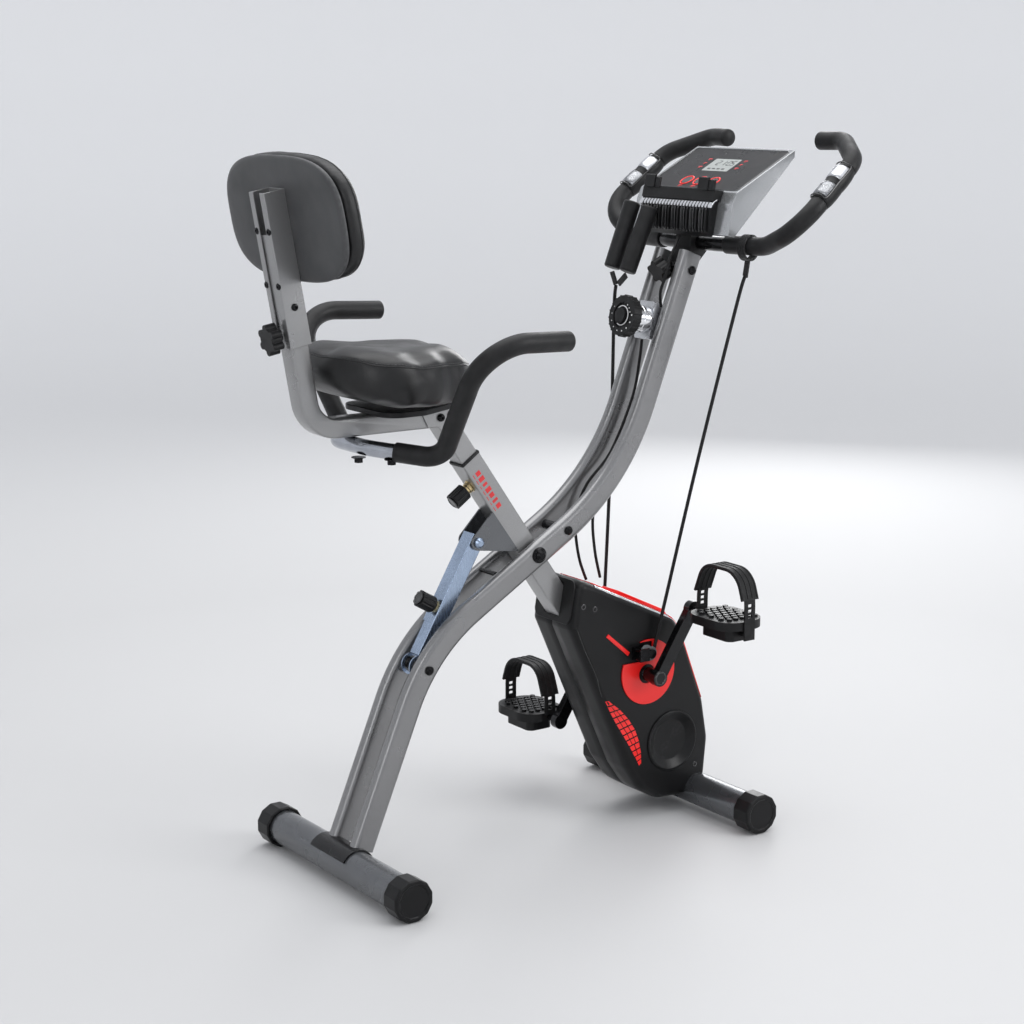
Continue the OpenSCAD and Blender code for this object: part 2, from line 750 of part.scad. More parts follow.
// Flywheel with its small pulley, turning on a bolt across the main tube
module flywheel() color("darkgray") {
    difference() {
        union() {
            crossbar(wheel, 40, 54, 2 * flywheel_r);
            crossbar(wheel, belt_y - belt_w / 2 - 1, 40, 2 * small_pulley_r);
        }
        crossbar(wheel, 0, 80, 10 + 2 * run_gap);
        for (i = [0 : 5]) rotate_about(wheel, 60 * i) crossbar(wheel + [44, 0, 0], 38, 80, 24);
    }
}

arm_pin = wheel + [-92, 0, 34];

// Magnet arm: a curved shoe round the rear of the rim, on its own pin
module magnet_arm() color("dimgray")
    across(12, 47) difference() {
        translate([wheel.x, wheel.z]) {
            intersection() {
                ring(2 * flywheel_r + 24, 6);
                polygon([[0, 0], [-110, 40], [-110, -50]]);
            }
            translate([-92, 34]) circle(d = 14);
            translate([-90, 26]) square([10, 10]);
        }
        translate([arm_pin.x, arm_pin.z]) circle(d = 6 + 2 * run_gap);
    }

// ---------- Housing ----------

housing_pts = [for (p = [[70, 362], [84, 447], [120, 432], [292, 350], [312, 318], [360, 195],
    [373, 124], [366, 52], [340, 24], [262, 28], [222, 52], [190, 98]]) p + [shift_x, 0]];
round_y = 16;
shell_t = 2.5;

module housing_layer(inset, half) {
    across(2 * half) offset(r = 14) offset(delta = -inset - 14) polygon(housing_pts);
}

module housing_solid(shrink) {
    hull() for (a = [0 : 30 : 90])
        housing_layer(shrink + round_y * (1 - cos(a)) * 0.6, housing_half - shrink - round_y * (1 - sin(a)));
}

module housing_half_shell(side)
    difference() {
        housing_solid(0);
        housing_solid(shell_t);
        translate([-500, side > 0 ? -200 : 0, 0]) cube([1000, 200, 600]);
        crossbar(crank, -90, 90, 34);
        crossbar(front_foot, -90, 90, foot_tube_d + 2 * saddle_t + 1);
        translate([shift_x + 180, side * 60 - 20, 288]) cube([56, 40, 30]);
        along_tube() linear_extrude(400, center = true) square([tube_w + 2, 2 * housing_half - 18], center = true);
        across(30) polygon([for (p = [[110, 460], [110, 410], [185, 410], [185, 460]]) p + [shift_x, 0]]);
        if (side < 0)
            translate([wheel.x, -housing_half - 1, wheel.z]) rotate([-90, 0, 0]) cylinder(d = 100, h = 12);
    }

module recess_dish(side)
    translate([wheel.x, -housing_half + 9, wheel.z]) rotate([-90, 0, 0])
        difference() {
            translate([0, 0, -8]) cylinder(d = 104, h = 10.5);
            translate([0, 0, -9]) cylinder(d = 99, h = 9);
        }

module housing_right() color("black") {
    housing_half_shell(-1);
    recess_dish(-1);
}
module housing_left() color("black") housing_half_shell(1);

module housing_collar() color("black")
    difference() {
        along_rear_wall() linear_extrude(4) rounded_box(76, 2 * housing_half - 20, 14);
        along_tube() linear_extrude(400, center = true) square(tube_w + 1, center = true);
    }

module along_rear_wall()
    translate([shift_x + 79, 0, 405]) rotate([0, -80, 0]) children();

module housing_trim() color("red")
    across(44) polygon([for (p = [[192, 401], [292, 353.2], [313, 321.5], [317, 323], [296, 357.5],
        [194, 406]]) p + [shift_x, 0]]);

disc_r = 57;

module side_discs() color("red")
    for (s = [-1, 1])
        difference() {
            crossbar(crank + [3, 0, 3], min(s * housing_half, s * (housing_half + 3)),
                max(s * housing_half, s * (housing_half + 3)), 2 * disc_r);
            crossbar(crank, -90, 90, 34);
            translate([shift_x + 176, s * 60 - 20, 286]) cube([62, 40, 34]);
        }

// ---------- Strut ----------

low_pin = low_bolt;
strut_dir = unit(low_pin - ear_pin);
strut_len = norm(low_pin - ear_pin);
strut_w = 30;

module along_strut(s = 0) {
    x = unit(cross([0, 1, 0], strut_dir));
    multmatrix(placed(x, cross(strut_dir, x), strut_dir, ear_pin + s * strut_dir)) children();
}

strut_knob_s = 122;

module strut_outer() color("gray") {
    difference() {
        along_strut(-10) linear_extrude(strut_len - 62) box_tube(26, strut_w, 2, 2);
        crossbar(ear_pin, -80, 80, 8);
        along_strut(strut_knob_s) rotate([0, 90, 0]) cylinder(d = 12, h = 60);
    }
    crossbar(ear_pin, -ear_gap - ear_t - fit, ear_gap + ear_t + fit, 8);
    for (s = [-1, 1]) button_head(ear_pin, s, ear_gap + ear_t + fit, 17, 7);
}

// The fork's hole is wide enough to stay clear of the cross tube it hooks over.
fork_hole = 26;
fork_t = 2.5;

module strut_inner() color("lightsteelblue") {
    difference() {
        along_strut(70) linear_extrude(strut_len - 70 - 16) box_tube(26 - 4.4, strut_w - 4.4, 1.5, 2);
        crossbar(low_pin, -80, 80, fork_hole);
    }
    for (s = [-1, 1]) difference() {
        across(fork_t, s * (strut_w / 2 - 2.2 - fork_t / 2)) {
            translate([low_pin.x, low_pin.z]) circle(fork_hole / 2 + 5);
            translate([low_pin.x, low_pin.z]) rotate(atan2(-strut_dir.z, -strut_dir.x))
                translate([0, -9]) square([44, 18]);
        }
        crossbar(low_pin, -80, 80, fork_hole);
    }
}

module strut_knob() color("black")
    along_strut(strut_knob_s) rotate([0, 90, 0]) {
        translate([0, 0, 11.4]) cylinder(d = 11.6, h = 12);
        translate([0, 0, 20]) fluted_grip(28, 27);
    }

// ---------- Seat ----------

post_w = tube_w - 2 * wall - 2 * fit;
post_top = 292;
seat_tube_h = 31;
seat_tube_w = 35;
seat_tube_z = 735;
upright_top = 1040;
upright_in = [shift_x - 389, 0, seat_tube_z];
back_dir = [-sin(back_lean), 0, cos(back_lean)];

module seat_post() color("lightgray") {
    difference() {
        along_tube(60) linear_extrude(post_top - 60) box_tube(post_w, post_w, 2, wall);
        translate([-500, -100, 750.5]) cube([1000, 200, 200]);
    }
    difference() {
        hollow(bent([pivot + [-174, 0, seat_tube_z - pivot_z], upright_in,
            upright_in + back_dir * (upright_top - seat_tube_z)], [50]),
            corner_section(seat_tube_h, seat_tube_w, 4),
            corner_section(seat_tube_h - 2 * wall, seat_tube_w - 2 * wall, 4 - wall));
        along_tube(60) linear_extrude(400) square(post_w + 0.02, center = true);
    }
    for (s = [-1, 1])
        across(3, s * (post_w / 2 + 1.6)) polygon([for (p = [[-200, 750.5], [-186, 722], [-160, 722],
            [-146, 750.5]]) p + [shift_x, 0]]);
}

handle_right = moved([[-314, -45, 706], [-240, -141, 695], [-260, -284, 884], [-98, -268, 877]],
    [shift_x, 0, 0]);
handle_side = [0, 0, 1];
grip_from = handle_right[0] + 46 * unit(handle_right[1] - handle_right[0]);

module seat_handles() color("gainsboro") {
    hollow(bent(both_halves(handle_right), palindrome([60, 45, 70])),
        round_section(bar_d, 16), round_section(bar_d - 2 * wall, 16), handle_side);
    for (s = [-1, 1]) translate([shift_x - 322, s * 27, 690]) cylinder(d = 14, h = 4);
}

module seat_handle_foam() color("black")
    both_sides()
        sleeve(bent([grip_from, handle_right[1], handle_right[2], handle_right[3]], [45, 70]), true,
            handle_side);

module seat_base() color("black")
    translate([shift_x - 240, 0, 751.5]) linear_extrude(9) hull() {
        translate([-8, 0]) rounded_box(90, seat_w - 130, 30);
        translate([66, 0]) circle(44);
    }

module cushion_layer(z, h, inset)
    translate([shift_x, 0, z]) linear_extrude(h) {
        translate([-288, 0]) rounded_box(180 - 2 * inset, seat_w - 2 * inset, 88 - inset, $fn = 32);
        translate([-172, 0]) circle(64 - inset, $fn = 32);
    }

module seat_cushion() color("black")
    hull() {
        cushion_layer(788, 60, 0);
        cushion_layer(788, 70, 14);
        translate([24, 0, 0]) cushion_layer(762, 30, 26);
    }

// ---------- Backrest ----------

channel_low = upright_in + 133 * back_dir;
channel_len = 236;
channel_d = 34;
channel_w = 46;

module along_back(s, out = 0) {
    translate(channel_low + s * back_dir) rotate([0, -back_lean, 0]) translate([out, 0, 0]) children();
}

module backrest_channel() color("silver")
    along_back(0) linear_extrude(channel_len)
        difference() {
            rounded_box(channel_d + 3, channel_w, 2);
            square([channel_d - 2, channel_w - 5], center = true);
            translate([-channel_d / 2, 0]) square([12, 20], center = true);
        }

board_out = channel_d / 2 + 1.8;
board_mid = 189;

module backrest_board() color("gray")
    along_back(board_mid, board_out) rotate([0, 90, 0]) linear_extrude(8)
        rounded_box(back_h - 8, back_w - 8, 66);

module backrest_pad() color("black")
    along_back(board_mid, board_out + 8.2) rotate([0, 90, 0])
        hull() {
            linear_extrude(22) rounded_box(back_h, back_w, 70, $fn = 32);
            linear_extrude(38) rounded_box(back_h - 30, back_w - 40, 60, $fn = 32);
        }

module star_knob() color("black")
    along_back(18, -channel_d / 2 - 2) rotate([0, -90, 0]) {
        cylinder(d = 12, h = 10);
        translate([0, 0, 8]) linear_extrude(18) {
            circle(d = 36);
            for (i = [0 : 5]) rotate(60 * i) translate([18, 0]) circle(d = 12);
        }
    }

rail_right();
rail_left();
frame_cross_parts();
rear_stabilizer();
rear_end_caps();
rail_bolts();
pivot_bolt();
handlebar_tube();
handlebar_foam();
pulse_grips();
bar_clamp();
clamp_knob();
console_shell();
console_panel();
console_shelf();
button_left();
button_middle();
button_right();
dial_base();
tension_dial();
tension_cable();
sensor_cable();
band_grips();
band_straps();
band_cord_right();
band_cord_left();
main_tube();
frame_plates();
front_stabilizer();
front_end_caps();
bottom_bracket();
housing_right();
housing_left();
housing_collar();
housing_trim();
side_discs();
drive_belt();
band_pulley_right();
band_pulley_left();
magnet_arm();
height_knob();
crank_axle();
crank_arms();
pedal_right();
pedal_strap_right();
pedal_left();
pedal_strap_left();
flywheel();
strut_outer();
strut_inner();
strut_knob();
seat_post();
seat_handles();
seat_handle_foam();
seat_base();
seat_cushion();
backrest_channel();
backrest_board();
backrest_pad();
star_knob();
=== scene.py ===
"""Looks for a folding semi-recumbent exercise bike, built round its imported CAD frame.

Positions are given in the design's own millimetres, with X counted before the
frame's centring shift, and at() turns them into the frame's metres.
"""
import json
import math

import bmesh
import bpy
from mathutils import Matrix, Vector
from mathutils.bvhtree import BVHTree


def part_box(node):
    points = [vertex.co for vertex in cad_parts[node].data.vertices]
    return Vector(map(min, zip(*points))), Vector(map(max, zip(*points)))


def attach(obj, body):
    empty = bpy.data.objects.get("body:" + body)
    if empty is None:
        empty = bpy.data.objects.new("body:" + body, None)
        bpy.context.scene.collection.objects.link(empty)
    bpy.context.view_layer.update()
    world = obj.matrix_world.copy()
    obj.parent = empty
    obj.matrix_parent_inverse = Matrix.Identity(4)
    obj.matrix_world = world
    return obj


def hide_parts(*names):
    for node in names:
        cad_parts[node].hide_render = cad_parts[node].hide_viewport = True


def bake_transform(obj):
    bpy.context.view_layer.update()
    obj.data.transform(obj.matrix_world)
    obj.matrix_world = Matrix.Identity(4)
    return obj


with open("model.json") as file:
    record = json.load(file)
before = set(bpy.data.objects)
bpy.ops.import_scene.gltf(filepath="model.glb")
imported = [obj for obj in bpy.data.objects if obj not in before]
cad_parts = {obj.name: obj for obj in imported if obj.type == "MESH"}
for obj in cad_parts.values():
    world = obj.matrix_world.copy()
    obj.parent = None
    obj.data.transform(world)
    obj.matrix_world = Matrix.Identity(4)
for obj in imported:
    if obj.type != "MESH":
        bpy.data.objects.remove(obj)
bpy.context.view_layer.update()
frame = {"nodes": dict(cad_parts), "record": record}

MM = 0.001
FOOT_X = 0.346
ROOT = "rear_frame"
SEAT_FRAME = "seat_frame"


def middle(node):
    low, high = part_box(node)
    return (low + high) / 2


SHIFT = middle("front_stabilizer").x - FOOT_X
PIVOT = middle("pivot_bolt")


def at(x, y, z):
    return Vector((x * MM + SHIFT, y * MM, z * MM))


TUBE_LEAN = math.radians(35)
BACK_LEAN = math.radians(10)
DOWN = Vector((math.sin(TUBE_LEAN), 0, -math.cos(TUBE_LEAN)))
BACK_UP = Vector((-math.sin(BACK_LEAN), 0, math.cos(BACK_LEAN)))
CRANK = middle("crank_axle")
CRANK.y = 0
WHEEL = middle("flywheel")
WHEEL.y = 0
Y_AXIS = Vector((0, 1, 0))


# ---------- Lines, sections and skins ----------

def fillet(a, b, c, radius, step=4.0):
    """Points round one bend at b, about every step degrees."""
    d1, d2 = (b - a).normalized(), (c - b).normalized()
    turn = d1.angle(d2)
    inward = (d2 - d1 * d1.dot(d2)).normalized()
    start = b - d1 * (radius * math.tan(turn / 2))
    n = max(2, math.ceil(math.degrees(turn) / step))
    return [
        start + d1 * (radius * math.sin(turn * i / n)) + inward * (radius * (1 - math.cos(turn * i / n)))
        for i in range(n + 1)
    ]


def bent(points, radii, step=4.0):
    """A tube's middle line, bent at every inner point with the radius given in millimetres."""
    line = [points[0]]
    for i, radius in enumerate(radii, start=1):
        line += fillet(points[i - 1], points[i], points[i + 1], radius * MM, step)
    return line + [points[-1]]


def smooth(points, steps):
    """A smooth curve through every point of a given route."""
    line = []
    last = len(points) - 1
    for i in range(last):
        a, b, c, e = points[max(i - 1, 0)], points[i], points[i + 1], points[min(i + 2, last)]
        for k in range(steps):
            t = k / steps
            line.append(0.5 * (2 * b + (c - a) * t + (2 * a - 5 * b + 4 * c - e) * t ** 2
                               + (3 * b - a - 3 * c + e) * t ** 3))
    return line + [points[last]]


def length_of(line):
    return sum((b - a).length for a, b in zip(line, line[1:]))


def between(line, start, end):
    """The stretch of a line from one distance along it to another."""
    out, run = [], 0.0
    for a, b in zip(line, line[1:]):
        step = (b - a).length
        if not out and run + step >= start:
            out.append(a.lerp(b, (start - run) / step))
        if out and run + step >= end:
            out.append(a.lerp(b, (end - run) / step))
            return out
        run += step
        if out:
            out.append(b)
    return out


def mirrored(points):
    return [Vector((p.x, -p.y, p.z)) for p in points]


def both_halves(points):
    """The right half mirrored to the left, as one line from tip to tip."""
    return mirrored(points)[::-1] + list(points)


def round_section(diameter, n=40):
    r = diameter * MM / 2
    return [(r * math.cos(2 * math.pi * i / n), r * math.sin(2 * math.pi * i / n)) for i in range(n)]


def corner_section(width, height, radius, steps=6):
    """A rectangle with round corners, in millimetres."""
    out = []
    for quarter, (sx, sy) in enumerate(((1, 1), (-1, 1), (-1, -1), (1, -1))):
        for i in range(steps + 1):
            a = math.pi / 2 * (quarter + i / steps)
            out.append((
                (sx * (width / 2 - radius) + radius * math.cos(a)) * MM,
                (sy * (height / 2 - radius) + radius * math.sin(a)) * MM,
            ))
    return out


def direction(line, i):
    out = Vector()
    if i < len(line) - 1:
        out += (line[i + 1] - line[i]).normalized()
    if i > 0:
        out += (line[i] - line[i - 1]).normalized()
    return out.normalized()


def swept(line, section, side=Y_AXIS, closed=True):
    """A skin of one section carried along a line: vertices and faces."""
    n, verts, faces = len(section), [], []
    for i, p in enumerate(line):
        d = direction(line, i)
        x = side.cross(d).normalized()
        y = d.cross(x)
        verts += [p + x * q[0] + y * q[1] for q in section]
    for i in range(len(line) - 1):
        for j in range(n):
            a, b = i * n + j, i * n + (j + 1) % n
            faces.append((a, b, b + n, a + n))
    if closed:
        faces.append(tuple(range(n - 1, -1, -1)))
        faces.append(tuple((len(line) - 1) * n + j for j in range(n)))
    return verts, faces


def basis(x, z, origin):
    """A frame whose Z is z and whose X is as near x as it can be."""
    z = z.normalized()
    y = z.cross(x).normalized()
    x = y.cross(z)
    return Matrix((
        (x.x, y.x, z.x, origin.x), (x.y, y.y, z.y, origin.y), (x.z, y.z, z.z, origin.z), (0, 0, 0, 1),
    ))


def turned(profile, place, n=64, arc=2 * math.pi):
    """A lathe form: (radius, height) points in millimetres turned about the place's Z."""
    verts, faces = [], []
    full = arc > 2 * math.pi - 1e-6
    rings = n if full else n + 1
    for i in range(rings):
        a = arc * i / n
        verts += [place @ Vector((r * MM * math.cos(a), r * MM * math.sin(a), h * MM)) for r, h in profile]
    m = len(profile)
    for i in range(n):
        for j in range(m - 1):
            a, b = i * m + j, ((i + 1) % rings) * m + j
            faces.append((a, b, b + 1, a + 1))
    return verts, faces


def slab(outline, place, depth, low=0.0):
    """A flat outline, in millimetres, raised from low to low + depth along the place's Z."""
    n = len(outline)
    verts = [place @ Vector((x * MM, y * MM, low * MM)) for x, y in outline]
    verts += [place @ Vector((x * MM, y * MM, (low + depth) * MM)) for x, y in outline]
    faces = [tuple(range(n - 1, -1, -1)), tuple(range(n, 2 * n))]
    faces += [(i, (i + 1) % n, (i + 1) % n + n, i + n) for i in range(n)]
    return verts, faces


def merged(*skins):
    verts, faces = [], []
    for v, f in skins:
        base = len(verts)
        verts += v
        faces += [tuple(i + base for i in face) for face in f]
    return verts, faces


def round_rect(width, height, radius, steps=6):
    return [(x / MM, y / MM) for x, y in corner_section(width, height, radius, steps)]


def piece(name, skin, material, body, replaces=(), bevel=0.0, segments=3, sharp=35, subdivide=0):
    """One finished piece: a mesh with its material, body and CAD node."""
    verts, faces = skin
    mesh = bpy.data.meshes.new(name)
    mesh.from_pydata([tuple(v) for v in verts], [], faces)
    bm = bmesh.new()
    bm.from_mesh(mesh)
    bmesh.ops.remove_doubles(bm, verts=bm.verts, dist=1e-6)
    bmesh.ops.recalc_face_normals(bm, faces=bm.faces)
    bm.to_mesh(mesh)
    bm.free()
    mesh.materials.append(material)
    obj = bpy.data.objects.new(name, mesh)
    bpy.context.scene.collection.objects.link(obj)
    for polygon in mesh.polygons:
        polygon.use_smooth = True
    mesh.set_sharp_from_angle(angle=math.radians(sharp))
    if bevel:
        mod = obj.modifiers.new("edges", "BEVEL")
        mod.width = bevel * MM
        mod.segments = segments
        mod.limit_method = "ANGLE"
        mod.angle_limit = math.radians(sharp)
        mod.harden_normals = True
    if subdivide:
        mod = obj.modifiers.new("smooth", "SUBSURF")
        mod.levels = subdivide
        mod.render_levels = subdivide
    if body:
        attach(obj, body)
    if replaces:
        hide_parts(*replaces)
    return obj


# ---------- Materials ----------

class Surface:
    """A procedural material with helpers that add variation, grain and wear."""

    def __init__(self, name, color, rough, metal=0.0, coat=0.0, sheen=0.0, specular=0.5):
        self.mat = bpy.data.materials.new(name)
        self.mat.use_nodes = True
        self.tree = self.mat.node_tree
        self.shader = self.tree.nodes["Principled BSDF"]
        self.color, self.rough = color, rough
        self.shader.inputs["Base Color"].default_value = (*color, 1)
        self.shader.inputs["Roughness"].default_value = rough
        self.shader.inputs["Metallic"].default_value = metal
        self.shader.inputs["Specular IOR Level"].default_value = specular
        self.shader.inputs["Coat Weight"].default_value = coat
        self.shader.inputs["Coat Roughness"].default_value = 0.12
        self.shader.inputs["Sheen Weight"].default_value = sheen
        self.shader.inputs["Sheen Roughness"].default_value = 0.4
        self.place = self.node("ShaderNodeTexCoord").outputs["Object"]
        self.normal = None

    def node(self, kind, **inputs):
        made = self.tree.nodes.new(kind)
        for key, value in inputs.items():
            made.inputs[key.replace("_", " ")].default_value = value
        return made

    def link(self, a, b):
        self.tree.links.new(a, b)

    def noise(self, scale, detail=3.0, rough=0.5, place=None):
        made = self.node("ShaderNodeTexNoise", Scale=scale, Detail=detail, Roughness=rough)
        self.link(place or self.place, made.inputs["Vector"])
        return made.outputs["Fac"]

    def stretched(self, factors):
        made = self.node("ShaderNodeMapping")
        made.inputs["Scale"].default_value = factors
        self.link(self.place, made.inputs["Vector"])
        return made.outputs["Vector"]

    def cells(self, scale, feature="F1"):
        made = self.node("ShaderNodeTexVoronoi", Scale=scale)
        made.feature = feature
        self.link(self.place, made.inputs["Vector"])
        return made.outputs["Distance"]

    def ramp(self, source, low, high, a, b):
        made = self.node("ShaderNodeMapRange")
        made.inputs["From Min"].default_value = low
        made.inputs["From Max"].default_value = high
        made.inputs["To Min"].default_value = a
        made.inputs["To Max"].default_value = b
        self.link(source, made.inputs["Value"])
        return made.outputs["Result"]

    def blend_color(self, factor, a, b):
        made = self.node("ShaderNodeMix")
        made.data_type = "RGBA"
        self.link(factor, made.inputs["Factor"])
        for socket, value in (("A", a), ("B", b)):
            target = [s for s in made.inputs if s.name == socket and s.type == "RGBA"][0]
            if isinstance(value, tuple):
                target.default_value = (*value, 1)
            else:
                self.link(value, target)
        return [s for s in made.outputs if s.type == "RGBA"][0]

    def tone(self, scale, amount, detail=4.0):
        """Slow colour variation, as a share of the base colour."""
        dark = tuple(c * (1 - amount) for c in self.color)
        light = tuple(min(1, c * (1 + amount)) for c in self.color)
        factor = self.ramp(self.noise(scale, detail), 0.3, 0.7, 0, 1)
        self.out_color = self.blend_color(factor, dark, light)
        self.link(self.out_color, self.shader.inputs["Base Color"])
        return self

    def gloss(self, scale, amount, detail=3.0, place=None):
        """Smudges: roughness that varies round its mean."""
        r = self.ramp(self.noise(scale, detail, place=place), 0.3, 0.7, self.rough - amount,
                      self.rough + amount)
        self.link(r, self.shader.inputs["Roughness"])
        return self

    def bump(self, height, strength, distance):
        """Adds one layer of relief: distance in millimetres."""
        made = self.node("ShaderNodeBump")
        made.inputs["Strength"].default_value = strength
        made.inputs["Distance"].default_value = distance * MM
        self.link(height, made.inputs["Height"])
        if self.normal:
            self.link(self.normal, made.inputs["Normal"])
        self.normal = made.outputs["Normal"]
        self.link(self.normal, self.shader.inputs["Normal"])
        return self

    def worn_edges(self, color, low=0.53, high=0.60):
        """A worn tone along convex edges, broken up by noise."""
        point = self.node("ShaderNodeNewGeometry").outputs["Pointiness"]
        edge = self.ramp(point, low, high, 0, 1)
        broken = self.ramp(self.noise(160.0, 5.0), 0.45, 0.62, 0, 0.8)
        both = self.node("ShaderNodeMath")
        both.operation = "MULTIPLY"
        self.link(edge, both.inputs[0])
        self.link(broken, both.inputs[1])
        self.out_color = self.blend_color(both.outputs[0], self.out_color, color)
        self.link(self.out_color, self.shader.inputs["Base Color"])
        return self


def metallic_paint(name, color, rough=0.34):
    """Satin metallic paint: fine flakes, faint orange peel, smudged gloss."""
    s = Surface(name, color, rough, metal=0.72, coat=0.25)
    s.tone(9.0, 0.06)
    flakes = s.ramp(s.cells(2600.0), 0.1, 0.7, 0.86, 1.12)
    mix = s.node("ShaderNodeMix")
    mix.data_type = "RGBA"
    mix.blend_type = "MULTIPLY"
    mix.inputs["Factor"].default_value = 1.0
    a, b = [k for k in mix.inputs if k.type == "RGBA"]
    s.link(s.out_color, a)
    s.link(flakes, b)
    s.out_color = [k for k in mix.outputs if k.type == "RGBA"][0]
    s.link(s.out_color, s.shader.inputs["Base Color"])
    s.gloss(14.0, 0.05)
    s.bump(s.noise(420.0, 2.0), 0.10, 0.12)
    s.bump(s.noise(3000.0, 1.0), 0.06, 0.05)
    return s.mat


def moulded(name, color, rough=0.48, grain=900.0, depth=0.10, metal=0.0):
    """Moulded plastic with a fine spark-eroded grain and handling marks."""
    s = Surface(name, color, rough, metal=metal, specular=0.24)
    s.tone(16.0, 0.16)
    s.gloss(22.0, 0.07, 4.0)
    s.bump(s.noise(grain, 3.0, 0.6), 0.32, depth)
    s.bump(s.noise(60.0, 2.0), 0.06, 0.25)
    s.worn_edges(tuple(min(1, c * 2.0 + 0.006) for c in color))
    return s.mat


def glossy(name, color, rough=0.2, coat=0.5):
    """Smooth shiny plastic with faint flow marks and dust."""
    s = Surface(name, color, rough, coat=coat)
    s.tone(12.0, 0.07)
    s.gloss(30.0, 0.05, 5.0)
    s.bump(s.noise(80.0, 2.0), 0.05, 0.2)
    s.worn_edges(tuple(min(1, c * 1.5 + 0.02) for c in color))
    return s.mat


def foam_rubber(name, color=(0.011, 0.011, 0.0115)):
    """Closed-cell foam: pores, soft sheen, uneven density."""
    s = Surface(name, color, 0.46, sheen=0.02, specular=0.26)
    s.tone(55.0, 0.28, 5.0)
    s.gloss(40.0, 0.08)
    s.bump(s.cells(1500.0), 0.35, 0.18)
    s.bump(s.noise(260.0, 4.0, 0.6), 0.25, 0.3)
    return s.mat


def vinyl(name, color=(0.005, 0.005, 0.0054), rough=0.40):
    """Grained upholstery vinyl: pebble grain, fine creases, sheen on the crowns."""
    s = Surface(name, color, rough, specular=0.42)
    s.tone(30.0, 0.22, 4.0)
    s.gloss(26.0, 0.05, 4.0)
    s.bump(s.cells(620.0), 0.42, 0.22)
    s.bump(s.cells(240.0, "DISTANCE_TO_EDGE"), 0.14, 0.30)
    s.bump(s.noise(34.0, 3.0, 0.5), 0.10, 0.5)
    s.worn_edges((0.022, 0.022, 0.023), 0.54, 0.64)
    return s.mat


def zinc_plate(name, color=(0.50, 0.55, 0.62), rough=0.28):
    """Bright zinc on steel: drawn streaks and a blue-grey clouding."""
    s = Surface(name, color, rough, metal=0.95)
    s.tone(26.0, 0.14, 5.0)
    s.gloss(70.0, 0.09, 4.0, place=s.stretched((8, 8, 0.6)))
    s.bump(s.noise(160.0, 3.0, place=s.stretched((6, 6, 0.5))), 0.10, 0.08)
    return s.mat


def machined(name, color=(0.55, 0.56, 0.58), rough=0.3):
    """Turned or chromed steel with fine tool marks."""
    s = Surface(name, color, rough, metal=1.0)
    s.tone(60.0, 0.08)
    s.gloss(120.0, 0.07, 4.0)
    s.bump(s.noise(900.0, 2.0), 0.12, 0.04)
    return s.mat


def webbing_weave(name, color=(0.010, 0.010, 0.0105)):
    """Woven webbing: two crossed waves."""
    s = Surface(name, color, 0.82, sheen=0.3, specular=0.25)
    s.tone(120.0, 0.3)
    for rotation in (0.0, math.pi / 2):
        turn = s.node("ShaderNodeMapping")
        turn.inputs["Rotation"].default_value = (rotation, rotation * 0.5, 0)
        s.link(s.place, turn.inputs["Vector"])
        wave = s.node("ShaderNodeTexWave", Scale=260.0, Distortion=0.6)
        s.link(turn.outputs["Vector"], wave.inputs["Vector"])
        s.bump(wave.outputs["Fac"], 0.5, 0.5)
    return s.mat


def print_ink(name, color, painted_glow=0.0):
    """Printed or moulded-in marks; a glow value adds painted light in the mark's own colour."""
    s = Surface(name, color, 0.42, coat=0.2)
    s.tone(90.0, 0.10)
    s.gloss(60.0, 0.06)
    s.bump(s.noise(700.0, 2.0), 0.1, 0.03)
    # painted light: the mark glows faintly in its own colour, though it is no lamp
    if painted_glow:
        s.shader.inputs["Emission Color"].default_value = (*color, 1)
        s.shader.inputs["Emission Strength"].default_value = painted_glow
    return s.mat


RAIL_PAINT = metallic_paint("rail_paint", (0.23, 0.23, 0.233), 0.29)
TUBE_PAINT = metallic_paint("tube_paint", (0.30, 0.30, 0.302), 0.32)
FOOT_PAINT = metallic_paint("foot_paint", (0.125, 0.130, 0.138), 0.28)
BLACK_PAINT = metallic_paint("black_paint", (0.010, 0.010, 0.011), 0.26)
BLACK_PLASTIC = moulded("black_plastic", (0.008, 0.008, 0.0085), 0.42)
HOUSING_PLASTIC = moulded("housing_plastic", (0.0065, 0.0065, 0.007), 0.38, 1100.0, 0.05)
CAP_PLASTIC = moulded("cap_plastic", (0.005, 0.005, 0.0055), 0.36, 700.0, 0.10)
GREY_PLASTIC = moulded("grey_plastic", (0.16, 0.165, 0.17), 0.45)
BOARD_PLASTIC = moulded("board_plastic", (0.062, 0.063, 0.065), 0.40, 800.0, 0.10)
SMOKE_PLASTIC = glossy("smoke_plastic", (0.045, 0.047, 0.05), 0.16)
GLOSS_BLACK = glossy("gloss_black", (0.012, 0.012, 0.013), 0.14)
PANEL_BLACK = moulded("panel_black", (0.008, 0.008, 0.009), 0.30, 1200.0, 0.03)
RED_PLASTIC = glossy("red_plastic", (0.86, 0.012, 0.010), 0.32, 0.1)
SILVER_PLASTIC = metallic_paint("silver_lacquer", (0.42, 0.43, 0.44), 0.20)
FOAM = foam_rubber("grip_foam")
RUBBER = moulded("cord_rubber", (0.009, 0.009, 0.0095), 0.58, 1500.0, 0.05)
SEAT_VINYL = vinyl("seat_vinyl")
PAD_VINYL = vinyl("pad_vinyl", (0.007, 0.007, 0.0075), 0.44)
BLACK_STEEL = moulded("black_steel", (0.010, 0.010, 0.011), 0.28, 500.0, 0.05, metal=0.6)
BLUE_ZINC = zinc_plate("blue_zinc", (0.34, 0.42, 0.55), 0.26)
STEEL = machined("machined_steel")
BRIGHT_TUBE = machined("bright_tube", (0.40, 0.42, 0.46), 0.20)
CHROME = machined("chrome", (0.74, 0.75, 0.77), 0.14)
BRASS = machined("brass", (0.66, 0.52, 0.28), 0.26)
